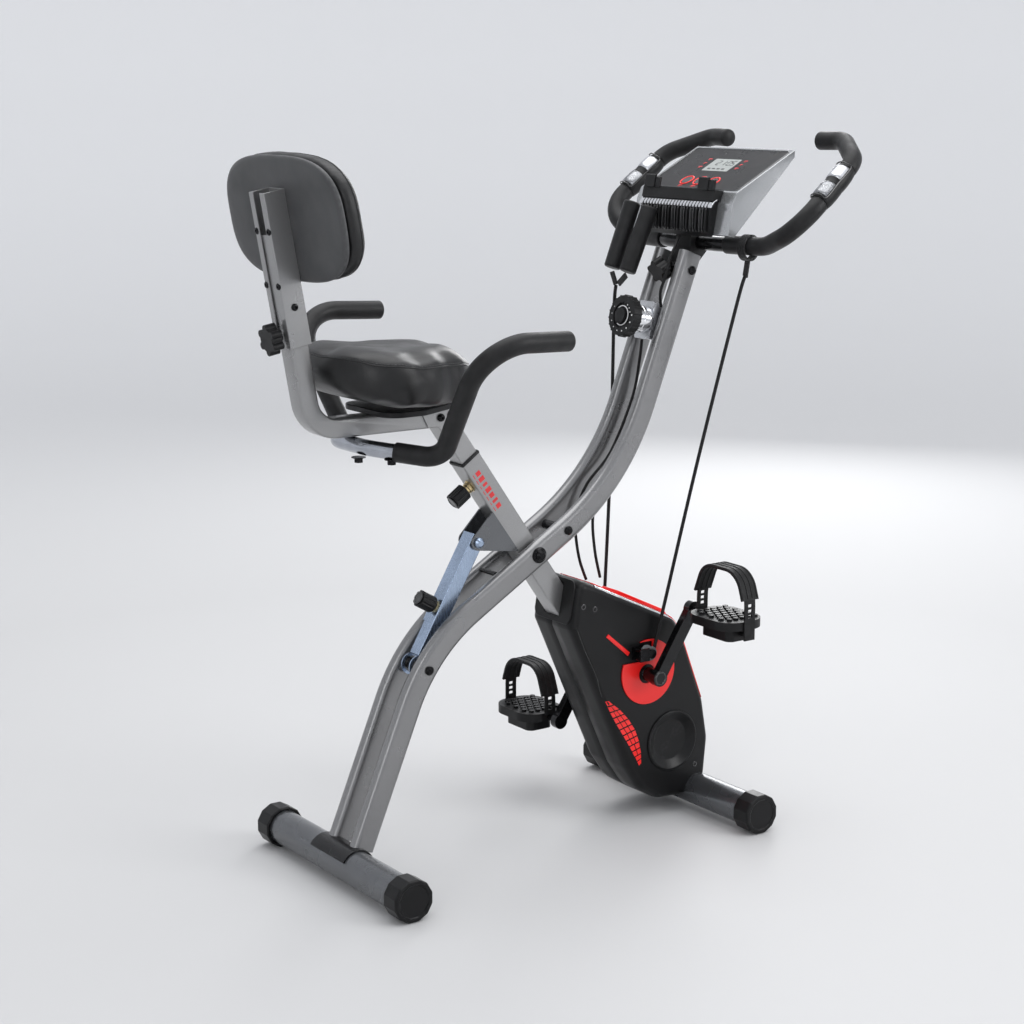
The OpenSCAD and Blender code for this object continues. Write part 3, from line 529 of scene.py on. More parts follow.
WEBBING = webbing_weave("webbing")
RED_INK = print_ink("red_ink", (0.62, 0.02, 0.025))
WHITE_INK = print_ink("white_ink", (0.74, 0.74, 0.74))
# the screen carries a faint painted glow of its own grey-green
SCREEN = print_ink("screen", (0.30, 0.32, 0.31), 0.15)
DIGIT = print_ink("digits", (0.03, 0.035, 0.035))
THREAD = print_ink("thread", (0.05, 0.05, 0.052))


# ---------- Camera, lights and floor ----------

CAMERA_AT = Vector((-1.9605 + SHIFT, -2.7715, 1.2570))
CAMERA_YAW = math.radians(-35.12)
CAMERA_DIP = math.radians(11.58)
LENS = 2107.0 / 1024.0 * 36.0


def add_camera():
    data = bpy.data.cameras.new("camera")
    data.lens = LENS
    data.sensor_width = 36.0
    data.clip_end = 60.0
    cam = bpy.data.objects.new("camera", data)
    cam.location = CAMERA_AT
    look = Vector((
        -math.sin(CAMERA_YAW) * math.cos(CAMERA_DIP), math.cos(CAMERA_YAW) * math.cos(CAMERA_DIP),
        -math.sin(CAMERA_DIP),
    ))
    cam.rotation_euler = look.to_track_quat("-Z", "Y").to_euler()
    bpy.context.scene.collection.objects.link(cam)
    bpy.context.scene.camera = cam


def add_light(name, place, target, size, power, color=(1, 1, 1)):
    data = bpy.data.lights.new(name, "AREA")
    data.shape = "RECTANGLE"
    data.size, data.size_y = size
    data.energy = power
    data.color = color
    light = bpy.data.objects.new(name, data)
    light.location = place
    light.rotation_euler = (Vector(target) - Vector(place)).to_track_quat("-Z", "Y").to_euler()
    bpy.context.scene.collection.objects.link(light)


def add_floor():
    """A pale studio sweep: floor running up into a wall on every side, its colour painted from mid grey round
    the machine to near white up the walls as painted shade and light.
    """
    verts, faces = [], []
    profile = [(0, 0), (5.0, 0), (6.2, 0.10), (7.2, 0.45), (8.0, 1.1), (8.5, 2.2), (8.6, 6.0)]
    n = 72
    for r, h in profile:
        for i in range(n):
            a = 2 * math.pi * i / n
            verts.append((r * math.cos(a), r * math.sin(a), h - 0.0005))
    for j in range(len(profile) - 1):
        for i in range(n):
            k = (i + 1) % n
            faces.append((j * n + i, j * n + k, (j + 1) * n + k, (j + 1) * n + i))
    mesh = bpy.data.meshes.new("floor")
    mesh.from_pydata(verts, [], faces)
    surface = Surface("studio_floor", (0.6, 0.6, 0.6), 0.6, specular=0.1)
    reach = surface.node("ShaderNodeVectorMath")
    reach.operation = "LENGTH"
    surface.link(surface.place, reach.inputs[0])
    # painted shade and light: the sweep's colour runs from mid grey within 1.8 m of the middle to near white
    # by 8.2 m, up the walls
    far = surface.ramp(reach.outputs["Value"], 1.8, 8.2, 0, 1)
    surface.link(surface.blend_color(far, (0.56, 0.56, 0.562), (0.96, 0.962, 0.965)),
                 surface.shader.inputs["Base Color"])
    mesh.materials.append(surface.mat)
    floor = bpy.data.objects.new("floor", mesh)
    for polygon in mesh.polygons:
        polygon.use_smooth = True
    bpy.context.scene.collection.objects.link(floor)


def add_world():
    world = bpy.data.worlds.new("studio")
    world.use_nodes = True
    world.node_tree.nodes["Background"].inputs["Color"].default_value = (0.93, 0.95, 1.0, 1)
    world.node_tree.nodes["Background"].inputs["Strength"].default_value = 0.74
    bpy.context.scene.world = world


bpy.context.scene.view_settings.view_transform = "Standard"
add_camera()
add_world()
add_floor()
add_light("overhead", (0.2, 0.2, 3.6), (0, 0, 0.5), (3.4, 3.4), 78)
add_light("key_front", (2.2, -3.2, 2.3), (0, 0, 0.6), (1.8, 2.4), 66)
add_light("rim_right", (2.6, 2.2, 1.9), (0, 0, 0.6), (1.0, 2.4), 34)
add_light("side_strip", (-3.2, -2.2, 1.9), (0, 0, 0.7), (0.7, 2.6), 18)


# ---------- Cords ----------

def route(*points):
    return [at(*p) for p in points]


def add_cord(name, points, diameter, steps, start, end, exit_index, **facts):
    line = smooth(points, steps)
    obj = piece(name, swept(line, round_section(diameter, 20)), RUBBER, None, (name[5:],))
    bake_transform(obj)
    return obj


CABLE_D = 5
BAND_D = 6
tension_route = route(
    (260, 4, 828), (259, 8, 795), (246, 10, 730), (200, 10, 640), (150, 10, 590), (126, 10, 540),
    (128, 10, 500), (136, 10, 460), (150, 10, 425))
sensor_route = route(
    (326, -10, 1000), (308, -24, 987), (291, -29, 964), (284, -27, 935), (283, -15, 905), (290, -12, 860),
    (282, -12, 815),
    (272, -12, 770), (222, -10, 660), (168, -8, 600), (150, -8, 540), (154, -8, 480), (166, -8, 430))
band_right_route = route(
    (233, -72, 305), (256, -76, 399), (306, -94, 633), (370, -108, 883), (385, -112, 936))
band_left_route = route(
    (233, 72, 305), (242, 75, 413), (256, 81, 633), (262, 84, 863), (253, 68, 914))
add_cord("look_tension_cable", tension_route, CABLE_D, 5, at(150, 0, 590), at(128, 0, 500), 0,
         stiffness="medium", lay="hanging")
add_cord("look_sensor_cable", sensor_route, CABLE_D, 5, at(168, 0, 600), at(154, 0, 480), 0,
         stiffness="medium", lay="hanging")
add_cord("look_band_cord_right", band_right_route, BAND_D, 10, at(385, 0, 936), at(233, 0, 305), 0,
         stiffness="medium", lay="taut")
add_cord("look_band_cord_left", band_left_route, BAND_D, 10, at(253, 0, 914), at(233, 0, 305), 0,
         stiffness="medium", lay="taut")


# ---------- Rails, tubes and feet ----------

RAIL_Y = 32


def add_rail(side):
    name = "right" if side < 0 else "left"
    points = [p + Vector((0, side * RAIL_Y * MM, 0)) for p in route((-339, 0, 30), (-198, 0, 366),
            (188, 0, 598),
                                                                     (333, 0, 973))]
    line = bent(points, [300, 400], 2.5)
    line = between(line, 29 * MM, length_of(line) - 0.0001)
    piece(f"look_rail_{name}", swept(line, corner_section(42, 22, 10.6, 8)), RAIL_PAINT, ROOT,
          (f"rail_{name}",), bevel=1.2)


def add_button_heads(name, centre, faces, diameter, height, body):
    """Domed socket-head screws seen end on, each with a round socket recess."""
    skins = []
    r = diameter / 2
    for y, side in faces:
        place = basis(Vector((1, 0, 0)), Y_AXIS * side, Vector((centre.x, y * MM, centre.z)))
        dome = [(r * 0.30, height * 0.45), (r * 0.34, height), (r * 0.5, height * 0.98),
                (r * 0.74, height * 0.82),
                (r * 0.92, height * 0.5), (r, height * 0.2), (r, 0), (0.01, 0)]
        skins.append(turned([(0.01, height * 0.45)] + dome, place, 40))
    return piece(name, merged(*skins), BLACK_STEEL, body)


def cap_skin(p, half, side):
    """A twelve-sided end cap: chamfered rim, straight collar, dished end."""
    place = basis(Vector((1, 0, 0)), Y_AXIS * side, Vector((p.x, side * (half - 37) * MM, p.z)))
    rings = [(30.2, 0.4), (33.2, 0), (35, 2.2), (35, 34), (33.4, 37), (27.5, 37), (26.0, 35.6), (0.01, 35.6)]
    return turned(rings, place @ Matrix.Rotation(math.radians(15), 4, "Z"), 12)


def add_foot(node_end, half):
    p = middle(f"{node_end}_stabilizer")
    body = ROOT if node_end == "rear" else SEAT_FRAME
    for side in (-1, 1):
        name = "right" if side < 0 else "left"
        piece(f"look_{node_end}_cap_{name}", cap_skin(p, half, side), CAP_PLASTIC, body,
              (f"{node_end}_end_caps",), bevel=1.1, sharp=20)


add_rail(-1)
add_rail(1)
add_foot("rear", 219)
add_foot("front", 231)


# ---------- Handlebar ----------

BAR_D = 25
FOAM_D = 31
BAR_SIDE = Vector((0.7, 0, -0.7))
bar_right = route((366, -60, 988), (386, -160, 988), (370, -256, 1024), (502, -242, 1128), (549, -168, 1158),
                  (542, -120, 1157))
BAR_BENDS = [60, 60, 58, 46, 38]
pod_dir = (bar_right[3] - bar_right[2]).normalized()
pod_from = bar_right[2] + pod_dir * (62 * MM)
pod_to = bar_right[2] + pod_dir * (146 * MM)
foam_from = bar_right[0] + (bar_right[1] - bar_right[0]).normalized() * (22 * MM)


def rounded_tip(line, diameter, n=8):
    """The line carried on into a domed end: extra points with their radius share."""
    d = direction(line, len(line) - 1)
    r = diameter * MM / 2
    return [(line[-1] + d * (r * 0.45 * math.sin(math.pi / 2 * i / n)),
             max(0.02, math.cos(math.pi / 2 * i / n)))
            for i in range(1, n + 1)]


def sleeve(line, diameter, side, tip, n=40):
    """A foam sleeve with softly rounded mouths, and a domed end at the tube's tip."""
    soft = 2.2 * MM
    points = [(p, 1.0) for p in line]
    first = points[0][0]
    d = direction(line, 0)
    lead = [(first + d * (soft * (1 - math.cos(a))), 1 - 0.13 * (1 - math.sin(a))) for a in (0.0, 0.5, 1.0,
            1.57)]
    points = [(first, 0.80)] + lead + [q for q in points[1:] if (q[0] - first).length > soft]
    if tip:
        points += rounded_tip(line, diameter)
    else:
        last = points[-1][0]
        d = direction(line, len(line) - 1)
        tail_off = [(last - d * (soft * (1 - math.cos(a))), 1 - 0.13 * (1 - math.sin(a)))
                    for a in (1.57, 1.0, 0.5, 0.0)]
        points = [q for q in points if (q[0] - last).length > soft] + tail_off + [(last, 0.80)]
    path = [p for p, _ in points]
    n_points = len(path)
    base = round_section(diameter, n)
    verts, faces = [], []
    for i, (p, share) in enumerate(points):
        d = (path[min(i + 1, n_points - 1)] - path[max(i - 1, 0)])
        d = d.normalized() if d.length > 1e-9 else direction(line, 0)
        x = side.cross(d).normalized()
        y = d.cross(x)
        verts += [p + (x * q[0] + y * q[1]) * share for q in base]
    for i in range(n_points - 1):
        for j in range(n):
            a, b = i * n + j, i * n + (j + 1) % n
            faces.append((a, b, b + n, a + n))
    faces.append(tuple(range(n - 1, -1, -1)))
    faces.append(tuple((n_points - 1) * n + j for j in range(n)))
    return verts, faces


def add_handlebar():
    line = bent(both_halves(bar_right), BAR_BENDS[::-1] + BAR_BENDS, 3)
    piece("look_handlebar_tube", swept(line, round_section(BAR_D), BAR_SIDE), BLACK_PAINT, ROOT,
          ("handlebar_tube",))
    inner = bent([foam_from, bar_right[1], bar_right[2], pod_from], [60, 58], 3)
    outer = bent([pod_to, bar_right[3], bar_right[4], bar_right[5]], [46, 38], 3)
    for name, flip in (("right", False), ("left", True)):
        for part, stretch, tip in (("inner", inner, False), ("tip", outer, True)):
            path = mirrored(stretch) if flip else stretch
            piece(f"look_bar_foam_{part}_{name}", sleeve(path, FOAM_D, BAR_SIDE, tip), FOAM, ROOT,
                  ("handlebar_foam",))


add_handlebar()

# ---------- Seat handles ----------

handle_right = route((-314, -45, 706), (-240, -141, 695), (-260, -284, 884), (-98, -268, 877))
HANDLE_BENDS = [60, 45, 70]
Z_AXIS = Vector((0, 0, 1))
grip_from = handle_right[0] + (handle_right[1] - handle_right[0]).normalized() * (46 * MM)


def add_seat_handles():
    line = bent(both_halves(handle_right), HANDLE_BENDS[::-1] + HANDLE_BENDS, 3)
    piece("look_seat_handles", swept(line, round_section(BAR_D), Z_AXIS), BRIGHT_TUBE, "seat",
          ("seat_handles",))
    grip = bent([grip_from, handle_right[1], handle_right[2], handle_right[3]], [45, 70], 3)
    for name, path in (("right", grip), ("left", mirrored(grip))):
        piece(f"look_seat_foam_{name}", sleeve(path, FOAM_D, Z_AXIS, True), FOAM, "seat",
              ("seat_handle_foam",))


add_seat_handles()

# ---------- CAD pieces given soft edges ----------

BODY = {node: body for body, nodes in frame["record"]["behaviour"]["bodies"].items() for node in nodes}


def dressed(node, material, bevel=0.6, segments=2, sharp=32, flat=0.6):
    """The CAD piece's own form with clean faces, smooth curves and softened edges."""
    mesh = frame["nodes"][node].data.copy()
    mesh.name = f"look_{node}"
    bm = bmesh.new()
    bm.from_mesh(mesh)
    bmesh.ops.remove_doubles(bm, verts=bm.verts, dist=1e-5)
    if flat:
        bmesh.ops.dissolve_limit(bm, angle_limit=math.radians(flat), verts=bm.verts, edges=bm.edges)
    bmesh.ops.recalc_face_normals(bm, faces=bm.faces)
    bm.to_mesh(mesh)
    bm.free()
    mesh.materials.clear()
    mesh.materials.append(material)
    obj = bpy.data.objects.new(f"look_{node}", mesh)
    bpy.context.scene.collection.objects.link(obj)
    for polygon in mesh.polygons:
        polygon.use_smooth = True
    mesh.set_sharp_from_angle(angle=math.radians(sharp))
    if bevel:
        mod = obj.modifiers.new("edges", "BEVEL")
        mod.width = bevel * MM
        mod.segments = segments
        mod.limit_method = "ANGLE"
        mod.angle_limit = math.radians(sharp)
        mod.harden_normals = True
    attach(obj, BODY[node])
    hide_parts(node)
    return obj


def loft(rings, cap=True):
    """A skin through rings of equal length, closed at both ends."""
    n, verts, faces = len(rings[0]), [], []
    for ring in rings:
        verts += ring
    for i in range(len(rings) - 1):
        for j in range(n):
            a, b = i * n + j, i * n + (j + 1) % n
            faces.append((a, b, b + n, a + n))
    if cap:
        faces.append(tuple(range(n - 1, -1, -1)))
        faces.append(tuple((len(rings) - 1) * n + j for j in range(n)))
    return verts, faces


def curve_value(points, x):
    """A smooth value read along given (x, value) points."""
    if x <= points[0][0]:
        return points[0][1]
    for (x0, v0), (x1, v1) in zip(points, points[1:]):
        if x <= x1:
            t = (x - x0) / (x1 - x0)
            t = t * t * (3 - 2 * t)
            return v0 + (v1 - v0) * t
    return points[-1][1]


def super_oval(a, b, power, n, front=None, width=None):
    """A superellipse in millimetres, with its own front half-length and a width that varies with x."""
    out = []
    for i in range(n):
        t = 2 * math.pi * i / n
        c, s = math.cos(t), math.sin(t)
        x = math.copysign(abs(c) ** (2 / power), c) * (front if front and c > 0 else a)
        y = math.copysign(abs(s) ** (2 / power), s) * (width(x) if width else b)
        out.append((x, y))
    return out


def inset_outline(points, amount):
    """An outline drawn in by an amount along its own normals."""
    n, out = len(points), []
    for i, (x, y) in enumerate(points):
        (ax, ay), (bx, by) = points[i - 1], points[(i + 1) % n]
        tx, ty = bx - ax, by - ay
        size = math.hypot(tx, ty) or 1
        out.append((x - ty / size * amount, y + tx / size * amount))
    return out


# ---------- Soft pads ----------

def settled(values, mesh, passes):
    """Each point's value drawn toward the mean of its neighbours, so that a pad has folds and no crumples."""
    for _ in range(passes):
        sums, counts = [Vector() for _ in values], [0] * len(values)
        for edge in mesh.edges:
            a, b = edge.vertices
            sums[a] += values[b]
            sums[b] += values[a]
            counts[a] += 1
            counts[b] += 1
        values = [(v + t / max(c, 1)) / 2 for v, t, c in zip(values, sums, counts)]
    return values


def puffed(obj, cell, pressure, cap):
    """Swells a pad with a short cloth simulation, each point held within the cap, in millimetres."""
    scene = bpy.context.scene
    bpy.ops.object.select_all(action="DESELECT")
    bpy.context.view_layer.objects.active = obj
    obj.select_set(True)
    remesh = obj.modifiers.new("remesh", "REMESH")
    remesh.mode = "VOXEL"
    remesh.voxel_size = cell * MM
    bpy.ops.object.modifier_apply(modifier=remesh.name)
    rest = [v.co.copy() for v in obj.data.vertices]
    cloth = obj.modifiers.new("cloth", "CLOTH")
    cloth.settings.quality = 5
    cloth.settings.mass = 0.35
    cloth.settings.tension_stiffness = 22
    cloth.settings.compression_stiffness = 18
    cloth.settings.shear_stiffness = 9
    cloth.settings.bending_stiffness = 1.2
    cloth.settings.use_pressure = True
    cloth.settings.uniform_pressure_force = pressure
    cloth.settings.effector_weights.gravity = 0
    cloth.point_cache.frame_start = 1
    cloth.point_cache.frame_end = 20
    for number in range(1, 21):
        scene.frame_set(number)
    bpy.ops.object.modifier_apply(modifier=cloth.name)
    scene.frame_set(1)
    moves = [v.co - home for v, home in zip(obj.data.vertices, rest)]
    moves = settled([m * min(1, cap * MM / max(m.length, 1e-9)) for m in moves], obj.data, 16)
    rest = settled(rest, obj.data, 3)
    for v, home, move in zip(obj.data.vertices, rest, moves):
        v.co = home + move
    for polygon in obj.data.polygons:
        polygon.use_smooth = True
    mod = obj.modifiers.new("smooth", "SUBSURF")
    mod.levels = 1
    mod.render_levels = 1
    return obj


SEAT_X = -240
SEAT_TOP = [(-378, 858), (-348, 860), (-264, 850), (-175, 851), (-128, 842), (-104, 826)]
SEAT_SEAM = [(-378, 853), (-320, 843), (-240, 836), (-165, 830), (-106, 818)]
SEAT_LOW = [(-378, 798), (-335, 786), (-285, 775), (-200, 771), (-106, 772)]


def seat_width(x):
    return curve_value([(-60, 139), (0, 128), (60, 104), (128, 84)], x)


def seat_skin():
    """The saddle-like cushion: a wall that bulges a little, a pinched seam and a crowned, waved top."""
    outline = super_oval(137, 139, 2.9, 120, front=133, width=seat_width)
    rings = []
    for inset, share in ((44, 0.0), (14, 0.0), (5, 0.06), (1.5, 0.18), (0.5, 0.42), (1.5, 0.7), (4, 0.90),
                         (6.5, 0.98)):
        ring = []
        for x, y in inset_outline(outline, inset):
            px = x + SEAT_X
            low, high = curve_value(SEAT_LOW, px), curve_value(SEAT_SEAM, px)
            ring.append(at(px, y, low + (high - low) * share))
        rings.append(ring)
    for inset, share in ((5.5, 0.06), (7, 0.16), (12, 0.36), (22, 0.62), (38, 0.84), (60, 0.96), (84, 1.0)):
        ring = []
        for x, y in inset_outline(outline, inset) if inset < 40 else [
                (q[0] * (1 - inset / 150), q[1] * (1 - inset / 150)) for q in outline]:
            px = x + SEAT_X
            high, top = curve_value(SEAT_SEAM, px), curve_value(SEAT_TOP, px)
            groove = 3.0 * math.exp(-(y / 16) ** 2)
            ring.append(at(px, y, high + (top - high) * share - groove * share))
        rings.append(ring)
    return loft(rings)


def seam_line(surface, points, lift=0.3):
    """Points dropped onto the nearest place of a finished pad's surface."""
    graph = bpy.context.evaluated_depsgraph_get()
    tree = BVHTree.FromObject(surface, graph)
    out = []
    for p in points:
        hit, normal, _, _ = tree.find_nearest(p)
        out.append((hit + normal * (lift * MM), normal))
    return out


def add_stitches(name, surface, points, material, body, long=3.4, gap=2.2, thick=0.9):
    """A row of thread stitches lying along a seam."""
    line = seam_line(surface, points, 0.25)
    path = [p for p, _ in line]
    total = length_of(path)
    skins = []
    run = 0.0
    step = (long + gap) * MM
    while run + long * MM < total:
        stretch = between(path, run, run + long * MM)
        if len(stretch) > 1:
            middle_point = stretch[len(stretch) // 2]
            normal = min(line, key=lambda q: (q[0] - middle_point).length)[1]
            a, b = stretch[0], stretch[-1]
            lifted = [a - normal * (0.4 * MM), a.lerp(b, 0.25) + normal * (0.25 * MM),
                      a.lerp(b, 0.75) + normal * (0.25 * MM), b - normal * (0.4 * MM)]
            skins.append(swept(lifted, round_section(thick, 8), normal.cross(b - a).normalized()))
        run += step
    return piece(name, merged(*skins), material, body)


def add_piping(name, surface, points, material, body, thick=3.0, lift=0.2):
    """A thin welt sewn in along a seam."""
    line = [p for p, _ in seam_line(surface, points, lift)]
    return piece(name, swept(line + [line[0], line[1]], round_section(thick, 12), Z_AXIS), material, body)


def add_seat():
    cushion = piece("look_seat_cushion", seat_skin(), SEAT_VINYL, None, ("seat_cushion",), sharp=80)
    puffed(cushion, 5.0, 4.0, 5.0)
    bpy.context.view_layer.update()
    outline = super_oval(137, 139, 2.9, 240, front=133, width=seat_width)
    seam = []
    for x, y in inset_outline(outline, 1.0):
        px = x + SEAT_X
        seam.append(at(px, y, curve_value(SEAT_SEAM, px)))
    add_piping("look_seat_welt", cushion, seam, PAD_VINYL, "seat", 2.6, -0.3)
    upper = [at(x + SEAT_X, y, curve_value(SEAT_SEAM, x + SEAT_X) + 4.5) for x,
             y in inset_outline(outline, 2.5)]
    add_stitches("look_seat_stitches", cushion, upper + [upper[0]], THREAD, "seat")
    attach(cushion, "seat")
    dressed("seat_base", BLACK_PLASTIC, 1.5, 3)


add_seat()

# ---------- Backrest ----------

CHANNEL_LOW = at(-412.1, 0, 866)
BOARD_MID = 189
BOARD_OUT = 18.8
FORWARD = Vector((math.cos(BACK_LEAN), 0, math.sin(BACK_LEAN)))


def back_place(out):
    """A frame whose Z looks out of the backrest's front, with X across and Y up."""
    origin = CHANNEL_LOW + BACK_UP * (BOARD_MID * MM) + FORWARD * (out * MM)
    x, y, z = Vector((0, 1, 0)), BACK_UP, FORWARD
    return Matrix((
        (x.x, y.x, z.x, origin.x), (x.y, y.y, z.y, origin.y), (x.z, y.z, z.z, origin.z), (0, 0, 0, 1),
    ))


def back_rings(place, outline, layers):
    return [[place @ Vector((x * MM, y * MM, out * MM)) for x, y in (
        inset_outline(outline, inset) if inset < 30 else [(p[0] * (1 - inset / 110), p[1] * (1 - inset / 110))
                                                          for p in outline])]
            for inset, out in layers]


def add_backrest():
    board = super_oval(172, 95, 3.0, 144)
    pad = super_oval(175, 98, 2.9, 144)
    place = back_place(BOARD_OUT)
    piece("look_backrest_board", loft(back_rings(place, board, (
        (44, -1.4), (22, -1.2), (9, -0.6), (3, 0.8), (0.8, 2.6), (0.4, 5.0), (0.8, 7.4), (3, 8.0),
        (28, 8.0)))),
        BOARD_PLASTIC, "backrest", ("backrest_board",), sharp=50)
    soft = piece("look_backrest_pad", loft(back_rings(place, pad, (
        (26, 8.3), (10, 8.4), (3, 9.4), (0.6, 13), (0, 19), (1, 26), (5, 33), (12, 38), (24, 41.5),
        (44, 43.5),
        (80, 44.5)))), PAD_VINYL, None, ("backrest_pad",), sharp=80)
    puffed(soft, 5.0, 3.0, 3.0)
    bpy.context.view_layer.update()
    welt = [place @ Vector((x * MM, y * MM, 31 * MM)) for x, y in inset_outline(pad, 2)]
    add_piping("look_backrest_welt", soft, welt, PAD_VINYL, "backrest", 2.8, -0.2)
    inner = super_oval(124, 62, 2.6, 220)
    ring = [place @ Vector((x * MM, y * MM, 44 * MM)) for x, y in inner]
    add_stitches("look_backrest_stitches", soft, ring + [ring[0]], THREAD, "backrest")
    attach(soft, "backrest")
    dressed("backrest_channel", TUBE_PAINT, 0.8, 2)
    skins = []
    for up, y in ((96, 18), (96, -18), (178, 18), (178, -18)):
        origin = CHANNEL_LOW + BACK_UP * (up * MM) - FORWARD * (17 * MM) + Vector((0, y * MM, 0))
        place = basis(Vector((0, 1, 0)), -FORWARD, origin)
        skins.append(turned([(0.01, 0), (5.6, 0), (5.6, 1.2), (4.4, 3.0), (2.3, 3.4), (2.2, 1.6),
                             (0.01, 1.6)], place, 28))
    for up in (61,):
        for side in (-1, 1):
            origin = CHANNEL_LOW + BACK_UP * (up * MM) + Vector((0, side * 23 * MM, 0))
            place = basis(Vector((1, 0, 0)), Y_AXIS * side, origin)
            skins.append(turned([(0.01, 0), (5.6, 0), (5.6, 1.2), (4.4, 3.0), (2.3, 3.4), (2.2, 1.6),
                                 (0.01, 1.6)],
                                place, 28))
    piece("look_backrest_screws", merged(*skins), BLACK_STEEL, "backrest")


add_backrest()

# ---------- Housing ----------

HOUSING = [(70, 362), (84, 447), (120, 432), (292, 350), (312, 318), (360, 195), (373, 124), (366, 52),
           (340, 24),
           (262, 28), (222, 52), (190, 98)]
HOUSING_BENDS = [14, 16, 60, 34, 60, 60, 60, 26, 16, 30, 60, 60]


def housing_outline():
    """The drive cover's side view with every corner rounded, anticlockwise or not as drawn."""
    out = []
    n = len(HOUSING)
    for i, radius in enumerate(HOUSING_BENDS):
        a, b, c = (Vector((*HOUSING[k % n], 0)) for k in (i - 1, i, i + 1))
        out += [(p.x, p.y) for p in fillet(a, b, c, radius, 5.0)]
    return out


def housing_half(side):
    """One half of the cover: flat wall, broad rounding, and a fine gap along the middle seam."""
    outline = housing_outline()
    rings = []
    for inset, y in [(2.0, 0.15), (0.5, 0.2), (0.0, 0.8)] + [(0, 20), (0, 40)] + [
            (20 * (1 - math.cos(math.radians(a))) * 0.62, 40 + 20 * math.sin(math.radians(a)))
            for a in range(12, 91, 6)]:
        points = inset_outline(outline, -inset)
        rings.append([at(x, side * y, z) for x, z in points])
    return loft(rings)


def cut_away(obj, cutter):
    """Takes the cutter's solid out of a piece and drops the cutter."""
    cut = obj.modifiers.new("cut", "BOOLEAN")
    cut.object = cutter
    cut.solver = "EXACT"
    bpy.ops.object.select_all(action="DESELECT")
    bpy.context.view_layer.objects.active = obj
    obj.select_set(True)
    bpy.ops.object.modifier_apply(modifier=cut.name)
    obj.data.set_sharp_from_angle(angle=math.radians(40))
    bpy.data.objects.remove(cutter)


def add_housing():
    right = piece("look_housing_right", housing_half(-1), HOUSING_PLASTIC, "seat_frame",
                  ("housing_right",), sharp=40)
    piece("look_housing_left", housing_half(1), HOUSING_PLASTIC, "seat_frame",
          ("housing_left",),
          sharp=40)
    place = basis(Vector((1, 0, 0)), -Y_AXIS, Vector((WHEEL.x, -61 * MM, WHEEL.z)))
    cutter = piece("dish_cutter", turned([(0.01, -10), (51, -10), (51, 4), (0.01, 4)], place, 96),
                   HOUSING_PLASTIC, None)
    cut_away(right, cutter)
    piece("look_housing_dish", turned([(0.01, -6.5), (34, -6.5), (37, -6.0), (41, -2.8), (45.5, -1.2),
                                       (48, 0.9),
                                       (50, 2.0), (52, 2.2), (53.4, 1.2), (53.6, 0.2), (51, -0.4),
                                       (50.8, -9), (0.01, -9)],
                                      place, 96), HOUSING_PLASTIC, "seat_frame", sharp=50)
    dressed("housing_collar", BLACK_PLASTIC, 1.6, 3)
    dressed("housing_trim", RED_PLASTIC, 1.4, 3)
    dressed("side_discs", RED_PLASTIC, 0.8, 3)


add_housing()

# ---------- Everything else on the frame ----------

for node, material, bevel in (
        ("frame_cross_parts", BLACK_PAINT, 0.6), ("rear_stabilizer", FOOT_PAINT, 0),
        ("front_stabilizer", FOOT_PAINT, 0),
        ("rail_bolts", BLACK_STEEL, 0.5), ("pivot_bolt", BLACK_STEEL, 0.5),
        ("bar_clamp", BLACK_PLASTIC, 1.5), ("clamp_knob", BLACK_PLASTIC, 1.6), ("dial_base", STEEL, 1.0),
        ("tension_dial", BLACK_PLASTIC, 0.8), ("band_grips", FOAM, 3.5), ("band_straps", WEBBING, 0.5),
        ("main_tube", TUBE_PAINT, 0.5), ("bottom_bracket", STEEL, 0.4),
        ("drive_belt", RUBBER, 0.4), ("band_pulley_right", GREY_PLASTIC, 0.4),
        ("band_pulley_left", GREY_PLASTIC, 0.4),
        ("magnet_arm", STEEL, 0.4), ("height_knob", BLACK_PLASTIC, 0.9), ("crank_axle", STEEL, 0.4),
        ("crank_arms", BLACK_PAINT, 2.4), ("pedal_right", BLACK_PLASTIC, 1.0),
        ("pedal_left", BLACK_PLASTIC, 1.0),
        ("pedal_strap_right", RUBBER, 0.6), ("pedal_strap_left", RUBBER, 0.6), ("flywheel", STEEL, 0.6),
        ("strut_outer", BLUE_ZINC, 0.6), ("strut_inner", BLUE_ZINC, 0.4), ("strut_knob", BLACK_PLASTIC, 0.9),
        ("seat_post", TUBE_PAINT, 0.5), ("star_knob", BLACK_PLASTIC, 1.6)):
    dressed(node, material, bevel, 3 if bevel > 1 else 2)
plates = dressed("frame_plates", FOOT_PAINT, 0.5)
plates.data.materials.append(BLACK_STEEL)
for polygon in plates.data.polygons:
    if abs(polygon.center.y) > 50 * MM and polygon.center.z > 0.25:
        polygon.material_index = 1


# ---------- Pedal straps ----------

CRANK_LEN = 132
CRANK_ANGLE = math.radians(57)
STRAP_LOW = 119.8
STRAP_HIGH = 240.2
STRAP_TOP = 90


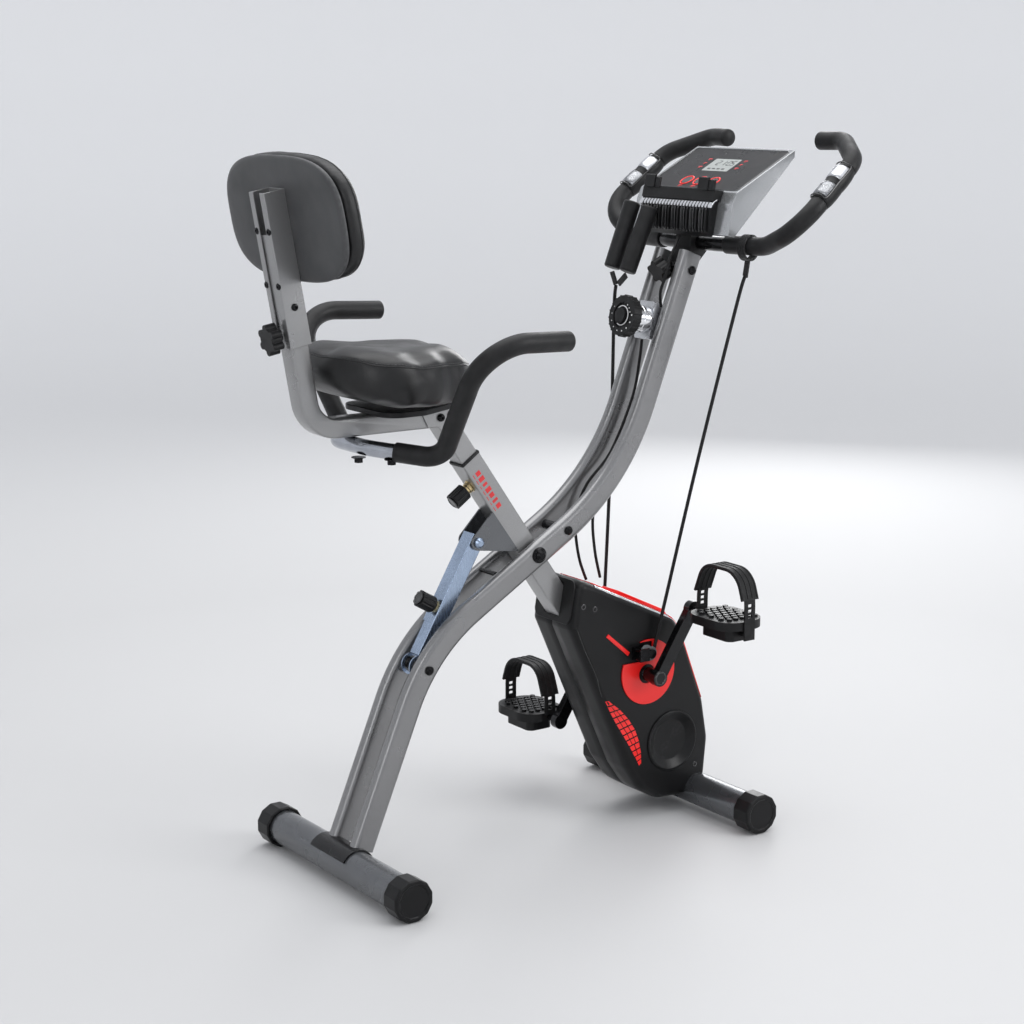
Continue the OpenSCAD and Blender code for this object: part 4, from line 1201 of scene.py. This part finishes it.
def add_strap_details(name, s):
    """Ribs along the hoop, and a ladder of holes through both legs."""
    side = -s
    end = CRANK + Vector((math.cos(CRANK_ANGLE), 0, math.sin(CRANK_ANGLE))) * (s * CRANK_LEN * MM)
    low, high = side * STRAP_LOW, side * STRAP_HIGH
    ribs = []
    for x in (-15.6, -5, 5, 15.6):
        corners = [end + Vector((x, y, z)) * MM for y, z in (
            (low + side * 1.2, 43), (low + side * 20, STRAP_TOP), (high - side * 16, STRAP_TOP),
            (high - side * 0.6, 47))]
        wide = 3.6 if abs(x) > 10 else 1.8
        ribs.append(swept(bent(corners, [34, 40], 5), corner_section(5.6, wide, 0.8, 3), Vector((1, 0, 0))))
    body = "pedal_" + name
    piece(f"look_strap_ribs_{name}", merged(*ribs), RUBBER, body, sharp=50)
    strap = bpy.data.objects["look_pedal_strap_" + name]
    holes = []
    for z in (17, 26, 35):
        for y in (low, high):
            place = Matrix.Translation(end + Vector((0, y, z)) * MM)
            holes.append(loft([[place @ Vector((x * MM, k * 3 * MM, h * MM)) for x,
                                h in round_rect(9, 5.4, 1.2, 3)]
                               for k in (-1, 1)]))
    cutter = piece("strap_cutter", merged(*holes), RUBBER, None)
    cut_away(strap, cutter)


for strap_name, strap_sign in (("right", 1), ("left", -1)):
    add_strap_details(strap_name, strap_sign)

# ---------- Console details ----------

DECK_LOW = at(352, 0, 1076)
DECK_UP = Vector((126, 0, 67)).normalized()
DECK_OUT = Vector((-67, 0, 126)).normalized()


def deck_place(s, y, out):
    """A frame on the console's face: X up the slope, Y across to the left, Z out of the face."""
    origin = DECK_LOW + DECK_UP * (s * MM) + Vector((0, y * MM, 0)) + DECK_OUT * (out * MM)
    x, y_axis, z = DECK_UP, Y_AXIS, DECK_OUT
    return Matrix((
        (x.x, y_axis.x, z.x, origin.x), (x.y, y_axis.y, z.y, origin.y), (x.z, y_axis.z, z.z, origin.z),
        (0, 0, 0, 1),
    ))


def rect_at(place, x, y, w, h, depth, low=0.0):
    return slab([(x - w / 2, y - h / 2), (x + w / 2, y - h / 2), (x + w / 2, y + h / 2),
                 (x - w / 2, y + h / 2)],
                place, depth, low)


SEGMENTS = {"1": "bc", "2": "abged", "5": "afgcd", "0": "abcdef"}


def digit(place, x, y, high, wide, figure):
    """A seven-segment figure lying on the screen; x runs up the screen and y to the left."""
    t = wide * 0.18
    spots = {"a": (high / 2, 0, t, wide), "d": (-high / 2, 0, t, wide), "g": (0, 0, t, wide),
             "f": (high / 4, wide / 2, high / 2, t), "b": (high / 4, -wide / 2, high / 2, t),
             "e": (-high / 4, wide / 2, high / 2, t), "c": (-high / 4, -wide / 2, high / 2, t)}
    return [rect_at(place, x + spots[k][0], y + spots[k][1], spots[k][2] * 0.86, spots[k][3] * 0.86, 0.3)
            for k in SEGMENTS[figure]]


def add_console():
    dressed("console_shell", SILVER_PLASTIC, 2.6, 4)
    dressed("console_panel", PANEL_BLACK, 0.5)
    dressed("console_shelf", BLACK_PLASTIC, 0.8)
    for node in ("button_left", "button_middle", "button_right"):
        dressed(node, GLOSS_BLACK, 0.9, 3)
    face = deck_place(0, 0, 0)
    piece("look_screen", slab([(x + 84, y) for x, y in round_rect(40, 66, 1.5)], face, 0.9, -0.9), SCREEN,
          ROOT,
          bevel=0.2)
    marks = []
    screen = deck_place(84, 0, 0.0)
    for y, figure in ((13, "2"), (1, "1"), (-14, "0"), (-24, "5")):
        marks += digit(screen, 6, y, 14, 7, figure)
    marks.append(rect_at(screen, 3, -6.5, 1.6, 1.6, 0.3))
    marks.append(rect_at(screen, 9, -6.5, 1.6, 1.6, 0.3))
    for y in (20, 8, -4, -16):
        marks.append(rect_at(screen, -13, y, 3.4, 7, 0.3))
    piece("look_screen_figures", merged(*marks), DIGIT, ROOT)
    rings = []
    for y in (34, 0, -34):
        rings.append(turned([(10.9, 0.05), (11.1, 0.9), (12.0, 1.3), (12.9, 1.3), (13.7, 0.9), (13.9, 0.05),
                             (10.9, 0.05)],
                            deck_place(30, y, 0), 56))
    piece("look_button_rings", merged(*rings), RED_PLASTIC, ROOT, sharp=60)
    red = []
    for s, y, w in ((102, 47, 8), (89, 47, 6), (76, 47, 9), (100, -47, 8), (88, -47, 6), (76, -47, 9),
                    (13, 34, 9),
                    (13, 0, 11), (13, -34, 9)):
        red.append(rect_at(face, s, y, 2.6, w, 0.25))
        red.append(rect_at(face, s - 3.4, y + 1, 1.2, w * 0.6, 0.25))
    piece("look_console_marks", merged(*red), RED_INK, ROOT)
    edge = [face @ Vector(((x + 71.3) * MM, y * MM, 0.2 * MM)) for x, y in round_rect(131, 240, 7, 6)]
    piece("look_console_frame", swept(edge + [edge[0], edge[1]], round_section(1.8, 10), DECK_OUT),
          SMOKE_PLASTIC, ROOT)
    ribs = []
    for i in range(22):
        y = -84 + 8 * i
        line = [at(333.4, y, 1063), at(329.5, y, 1059.5), at(323.2, y, 1051), at(321.2, y, 1040),
                at(320.4, y, 1016),
                at(322.0, y, 1010)]
        ribs.append(swept(line, corner_section(3.2, 2.6, 0.9, 3)))
    piece("look_grille_ribs", merged(*ribs), GLOSS_BLACK, ROOT)
    band = [at(336, -95, 1064.2), at(330, -95, 1061.6), at(324.2, -95, 1054.5), at(323.0, -95, 1050.8),
            at(325, -95, 1050.4), at(326.3, -95, 1053.6), at(331.5, -95, 1059.6), at(336, -95, 1061.8)]
    far = [Vector((p.x, 95 * MM, p.z)) for p in band]
    piece("look_grille_band", loft([band, far]), CHROME, ROOT, bevel=0.4, sharp=40)
    for y in (-66, 74):
        fin = [at(x, y - 13, z) for x, z in ((327, 1079), (331, 1079), (335.5, 1099), (333.5, 1100.5),
                                             (331, 1099))]
        fin_far = [Vector((p.x, (y + 13) * MM, p.z)) for p in fin]
        piece("look_shelf_lip_right" if y < 0 else "look_shelf_lip_left", loft([fin, fin_far]),
              BLACK_PLASTIC, ROOT,
              bevel=0.8)


add_console()

# ---------- Pulse grips ----------


def add_pulse_grips():
    facing = Vector((-0.62, 0, 0.785))
    for name, flip in (("right", False), ("left", True)):
        start = Vector((pod_from.x, -pod_from.y if flip else pod_from.y, pod_from.z))
        along = Vector((pod_dir.x, -pod_dir.y if flip else pod_dir.y, pod_dir.z))
        place = basis(facing, along, start)
        body = [(12.6, 0), (15.2, 0.2), (16.2, 2.5), (17.6, 12), (18.0, 26), (17.7, 39), (17.1, 42),
                (17.7, 45),
                (18.0, 58), (17.4, 72), (16.0, 81), (15.0, 83.8), (12.6, 84)]
        piece(f"look_pulse_grip_{name}", turned(body, place, 56), BLACK_PLASTIC, ROOT,
              ("pulse_grips",), sharp=50)
        plates = []
        for low, high in ((7, 36), (48, 77)):
            turn = place @ Matrix.Rotation(-1.05, 4, "Z")
            plates.append(turned([(17.0, low), (18.7, low + 1.2), (19.3, low + 6), (19.4, high - 6),
                                  (18.7, high - 1.2),
                                  (17.0, high)], turn, 28, arc=2.1))
            piece(f"look_pulse_plates_{name}", merged(*plates), STEEL, ROOT, sharp=60)
        rim = [place @ Vector((19.0 * MM * math.cos(a), 19.0 * MM * math.sin(a), z * MM))
               for a, z in ((-1.12, 5), (-1.12, 42), (-1.12, 79), (-0.6, 81), (0, 81.6), (0.6, 81),
                            (1.12, 79),
                            (1.12, 42), (1.12, 5), (0.6, 3), (0, 2.4), (-0.6, 3))]
        rim = smooth(rim + [rim[0]], 6)
        piece(f"look_pulse_rim_{name}", swept(rim, round_section(2.2, 10), facing), GLOSS_BLACK, ROOT)


add_pulse_grips()

# ---------- Housing details ----------


def on_surface(obj, points, lift=0.4, along=Vector((0, 1, 0))):
    """Points thrown against a piece along a direction, kept where they land."""
    tree = BVHTree.FromObject(obj, bpy.context.evaluated_depsgraph_get())
    out = []
    for p in points:
        hit, normal, _, _ = tree.ray_cast(p - along * 0.2, along)
        if hit:
            out.append((hit - along * (lift * MM), normal))
    return out


def mark_on(obj, name, quads, material, thick=0.5):
    """Small raised panels laid on the right wall of the housing; each quad is four (x, z) corners."""
    skins = []
    for quad in quads:
        landed = on_surface(obj, [at(x, 0, z) for x, z in quad], 0.0)
        if len(landed) == 4:
            low = [p + Vector((0, 0.4 * MM, 0)) for p, _ in landed]
            high = [p - Vector((0, thick * MM, 0)) for p, _ in landed]
            skins.append(loft([low, high]))
    return piece(name, merged(*skins), material, "seat_frame", bevel=0.2, sharp=40)


def leaf_quads():
    """The slanted grid of small panels inside a leaf-shaped field."""
    left = [(139, 228), (150, 206), (163, 183), (178, 160), (192, 138), (204, 117), (214, 99)]
    right = [(146, 226), (171, 206), (190, 186), (205, 164), (214, 141), (219, 119), (219, 101)]
    rows, quads = 12, []

    def edge(points, t):
        f = t * (len(points) - 1)
        i = min(int(f), len(points) - 2)
        (x0, z0), (x1, z1) = points[i], points[i + 1]
        return x0 + (x1 - x0) * (f - i), z0 + (z1 - z0) * (f - i)

    for r in range(rows):
        t0, t1 = (r + 0.10) / rows, (r + 0.88) / rows
        span = math.dist(edge(left, (r + 0.5) / rows), edge(right, (r + 0.5) / rows))
        columns = max(1, round(span / 9.0))
        for c in range(columns):
            u0, u1 = (c + 0.08) / columns, (c + 0.90) / columns
            corners = []
            for t, u in ((t0, u0), (t0, u1), (t1, u1), (t1, u0)):
                lx, lz = edge(left, t)
                rx, rz = edge(right, t)
                corners.append((lx + (rx - lx) * u, lz + (rz - lz) * u + 2.5 * u))
            quads.append(corners)
    return quads


def add_housing_details():
    right = bpy.data.objects["look_housing_right"]
    mark_on(right, "look_housing_grid", leaf_quads(), RED_PLASTIC, 0.6)
    mark_on(right, "look_housing_bar", [[(139.5, 340), (144, 344.5), (190, 306), (186, 300.5)]], RED_PLASTIC,
            1.6)
    outline = housing_outline()

    def wall(lift, x, z, y):
        """The cover's surface at the height y across, lifted off it, for the outline point nearest x, z."""
        i = min(range(len(outline)), key=lambda k: (outline[k][0] - x) ** 2 + (outline[k][1] - z) ** 2)
        (ax, az), (bx, bz) = outline[i - 1], outline[(i + 1) % len(outline)]
        tx, tz = bx - ax, bz - az
        size = math.hypot(tx, tz)
        nx, nz = -tz / size, tx / size
        over = max(0.0, abs(y) - 40)
        drop = 20 * 0.62 * (1 - math.sqrt(max(0.0, 1 - (over / 20) ** 2)))
        px, pz = outline[i]
        return at(px + nx * (lift - drop), y, pz + nz * (lift - drop))

    def cover_strip(name, path, across_steps, lift, material, thick):
        rows = [[wall(lift, x, z, y0 + (y1 - y0) * k / across_steps) for k in range(across_steps + 1)]
                for x, z, y0, y1 in path]
        verts = [p for row in rows for p in row]
        n = across_steps + 1
        faces = [(i * n + k, i * n + k + 1, (i + 1) * n + k + 1, (i + 1) * n + k)
                 for i in range(len(rows) - 1) for k in range(across_steps)]
        obj = piece(name, (verts, faces), material, "seat_frame", sharp=50)
        solid = obj.modifiers.new("thick", "SOLIDIFY")
        solid.thickness = thick * MM
        solid.offset = 0
        return obj

    steps = 26
    spine = []
    for k in range(steps + 1):
        t = k / steps
        x = 172 + (292 - 172) * min(1, t / 0.62) if t < 0.62 else 292 + (330 - 292) * (t - 0.62) / 0.38
        z = 407 - (407 - 350) * min(1, t / 0.62) if t < 0.62 else 350 - (350 - 270) * (t - 0.62) / 0.38
        spine.append((x, z, t))
    near = [(x, z, -(30 + 22 * min(1, t / 0.3)) if t < 0.9 else -52 + 40 * (t - 0.9) / 0.1, 46) for x, z,
            t in spine]
    cover_strip("look_top_trim", near, 22, 1.2, RED_PLASTIC, 1.8)
    inlay = [(x, z, -56 + 2 * t, -50) for x, z, t in spine if 0.1 < t < 0.74]
    cover_strip("look_top_inlay", inlay, 4, 0.8, CHROME, 1.0)
    front = [(316 + 9 * i, 300 - 24 * i, -58 + 0.5 * i, -50) for i in range(5)]
    cover_strip("look_front_strip", front, 5, 0.9, RED_PLASTIC, 1.4)
    seam = on_surface(right, [at(x, 0, z) for x,
                              z in ((78, 366), (84, 352), (98, 320), (120, 276), (128, 252), (134, 236))],
                      0.0)
    if len(seam) > 2:
        line = smooth([p for p, _ in seam], 4)
        piece("look_housing_seam", swept(line, round_section(1.1, 8)), GLOSS_BLACK, "seat_frame")
    for name, x, z in (("upper", 92, 399), ("lower", 339, 79), ("rear", 116, 392)):
        spot = on_surface(right, [at(x, 0, z)], 0.1)
        if spot:
            place = basis(Vector((1, 0, 0)), -Y_AXIS, spot[0][0])
            piece(f"look_housing_screw_{name}",
                  turned([(0.01, -0.6), (2.4, -0.6), (2.6, 0.2), (4.2, 0.6), (5.0, 0.1),
                                                        (5.0, -1.5), (0.01, -1.5)], place, 32), GLOSS_BLACK,
                  "seat_frame", sharp=50)


add_housing_details()

# ---------- Knobs, dial and small metal ----------


def add_small_parts():
    back = Vector((-math.cos(TUBE_LEAN), 0, -math.sin(TUBE_LEAN)))
    place = basis(Y_AXIS, back, PIVOT - DOWN * (160 * MM))
    piece("look_height_knob_neck", turned([(0.01, 18), (11, 18), (11, 20), (9.4, 21), (9.4, 26), (8.2, 27),
                                           (8.2, 31.5),
                                           (0.01, 31.5)], place, 40), BRASS, "seat_frame", sharp=40)
    piece("look_height_knob_cap", turned([(0.01, 59.2), (9.5, 59.2), (10.4, 60), (10.4, 61), (8.4, 61.6),
                                          (8.0, 60.8),
                                          (0.01, 60.6)], place, 40), GLOSS_BLACK, "height_knob",
                                          sharp=40)
    ear = PIVOT + Vector((-104, 0, 29.5)) * MM
    low = Vector((-203 * MM + SHIFT, 0, 334 * MM))
    strut = (low - ear).normalized()
    out = Y_AXIS.cross(strut).normalized()
    place = basis(Y_AXIS, out, ear + strut * (122 * MM))
    piece("look_strut_knob_neck", turned([(0.01, 13.2), (10, 13.2), (10, 15.5), (8.0, 16.5), (8.0, 20),
                                          (0.01, 20)], place,
                                         40), BRASS, "strut_outer", sharp=40)
    piece("look_strut_knob_cap", turned([(0.01, 47.2), (9.5, 47.2), (10.4, 48), (10.4, 49), (8.4, 49.6),
                                         (8.0, 48.8),
                                         (0.01, 48.6)], place, 40), GLOSS_BLACK, "strut_knob",
                                         sharp=40)
    tilt = math.radians(12)
    facing = Vector((-math.cos(tilt), 0, math.sin(tilt)))
    place = basis(Y_AXIS, facing, at(213, 0, 872))
    arc = place @ Matrix.Rotation(math.radians(60), 4, "Z")
    piece("look_dial_ring", turned([(15.6, -0.4), (15.6, 0.4), (16.0, 0.6), (16.6, 0.6), (17.0, 0.4),
                                    (17.0, -0.4),
                                    (15.6, -0.4)], arc, 56, 4.6), WHITE_INK, "tension_dial",
                                    sharp=60)
    dots = []
    for i in range(9):
        a = math.radians(-30 + 27 * i)
        spot = place @ Matrix.Translation(Vector((26.5 * MM * math.cos(a), 26.5 * MM * math.sin(a), 0)))
        dots.append(turned([(0.01, 0), (0.7 + 0.1 * i, 0), (0.7 + 0.1 * i, 0.3), (0.01, 0.35)], spot, 14))
    for i in range(3):
        a = math.radians(200 + 20 * i)
        spot = place @ Matrix.Translation(Vector((21.5 * MM * math.cos(a), 21.5 * MM * math.sin(a), 0)))
        dots.append(turned([(0.01, 0), (1.1, 0), (1.1, 0.3), (0.01, 0.35)], spot, 14))
    piece("look_dial_marks", merged(*dots), WHITE_INK, "tension_dial")
    piece("look_dial_collar", turned([(20.6, -17.2), (22.6, -17.6), (23.2, -19), (23.2, -24), (22.2, -25),
                                      (22.2, -33),
                                      (23.2, -34), (23.2, -48), (21, -49)], place, 64), CHROME, ROOT,
          sharp=40)
    bars = []
    side = basis(-DOWN, -Y_AXIS, PIVOT + Vector((0, -19 * MM, 0)))
    for i, (high, wide) in enumerate(((9, 8), (11, 5), (9, 8), (11, 8), (9, 5), (11, 8), (9, 8))):
        u = 108 + 11.5 * i
        bars.append(slab([(u - wide / 2, 4 - high / 2 - 1), (u + wide / 2, 4 - high / 2 - 1),
                          (u + wide / 2, 4 + high / 2 - 1),
                          (u - wide / 2, 4 + high / 2 - 1)], side, 0.25, 0.02))
        bars.append(slab([(u - wide / 2, 13 - 1), (u + wide / 2, 13 - 1), (u + wide / 2, 14.2 - 1),
                          (u - wide / 2, 14.2 - 1)], side, 0.25, 0.02))
    piece("look_tube_marks", merged(*bars), RED_INK, "seat_frame")
    top = basis(Y_AXIS, -DOWN, PIVOT - DOWN * (205 * MM))
    outer = round_rect(40, 40, 3.2, 4)
    inner = round_rect(34.5, 34.5, 2.4, 4)
    bush = loft([[top @ Vector((x * MM, y * MM, z * MM)) for x, y in ring] for ring, z in (
        (inner, -1), (outer, -1), (outer, 2.4), (round_rect(38.6, 38.6, 3, 4), 3.4), (inner, 3.4),
        (inner, -1))],
        cap=False)
    piece("look_tube_bushing", bush, BLACK_PLASTIC, "seat_frame", sharp=40)
    add_button_heads("look_gusset_bolt", at(-163, 0, 736), ((-21.2, -1), (21.2, 1)), 13, 5, "seat")
    caps = []
    for side_sign in (-1, 1):
        place = basis(Vector((1, 0, 0)), Y_AXIS * side_sign, Vector((CRANK.x, side_sign * 100 * MM, CRANK.z)))
        caps.append(turned([(0.01, -0.2), (8.6, -0.2), (9.4, 0.9), (11.4, 1.2), (12.4, 0.4), (12.6, -0.6),
                            (0.01, -0.6)],
                           place, 48))
    piece("look_crank_caps", merged(*caps), GLOSS_BLACK, "crank", sharp=40)
    nuts = []
    for x, y in ((-321, -31), (-290, -77)):
        place = basis(Vector((1, 0, 0)), Vector((0, 0, -1)), at(x, y, 691))
        nuts.append(turned([(0.01, 0), (11, 0), (11.4, 1.2), (8.6, 2.2), (7.4, 2.4)], place, 40))
        nuts.append(turned([(7.4, 2.2), (7.4, 8.2), (6.2, 9), (0.01, 9)], place, 6))
    piece("look_handle_nuts", merged(*nuts), BLACK_STEEL, "seat", sharp=30)


add_small_parts()
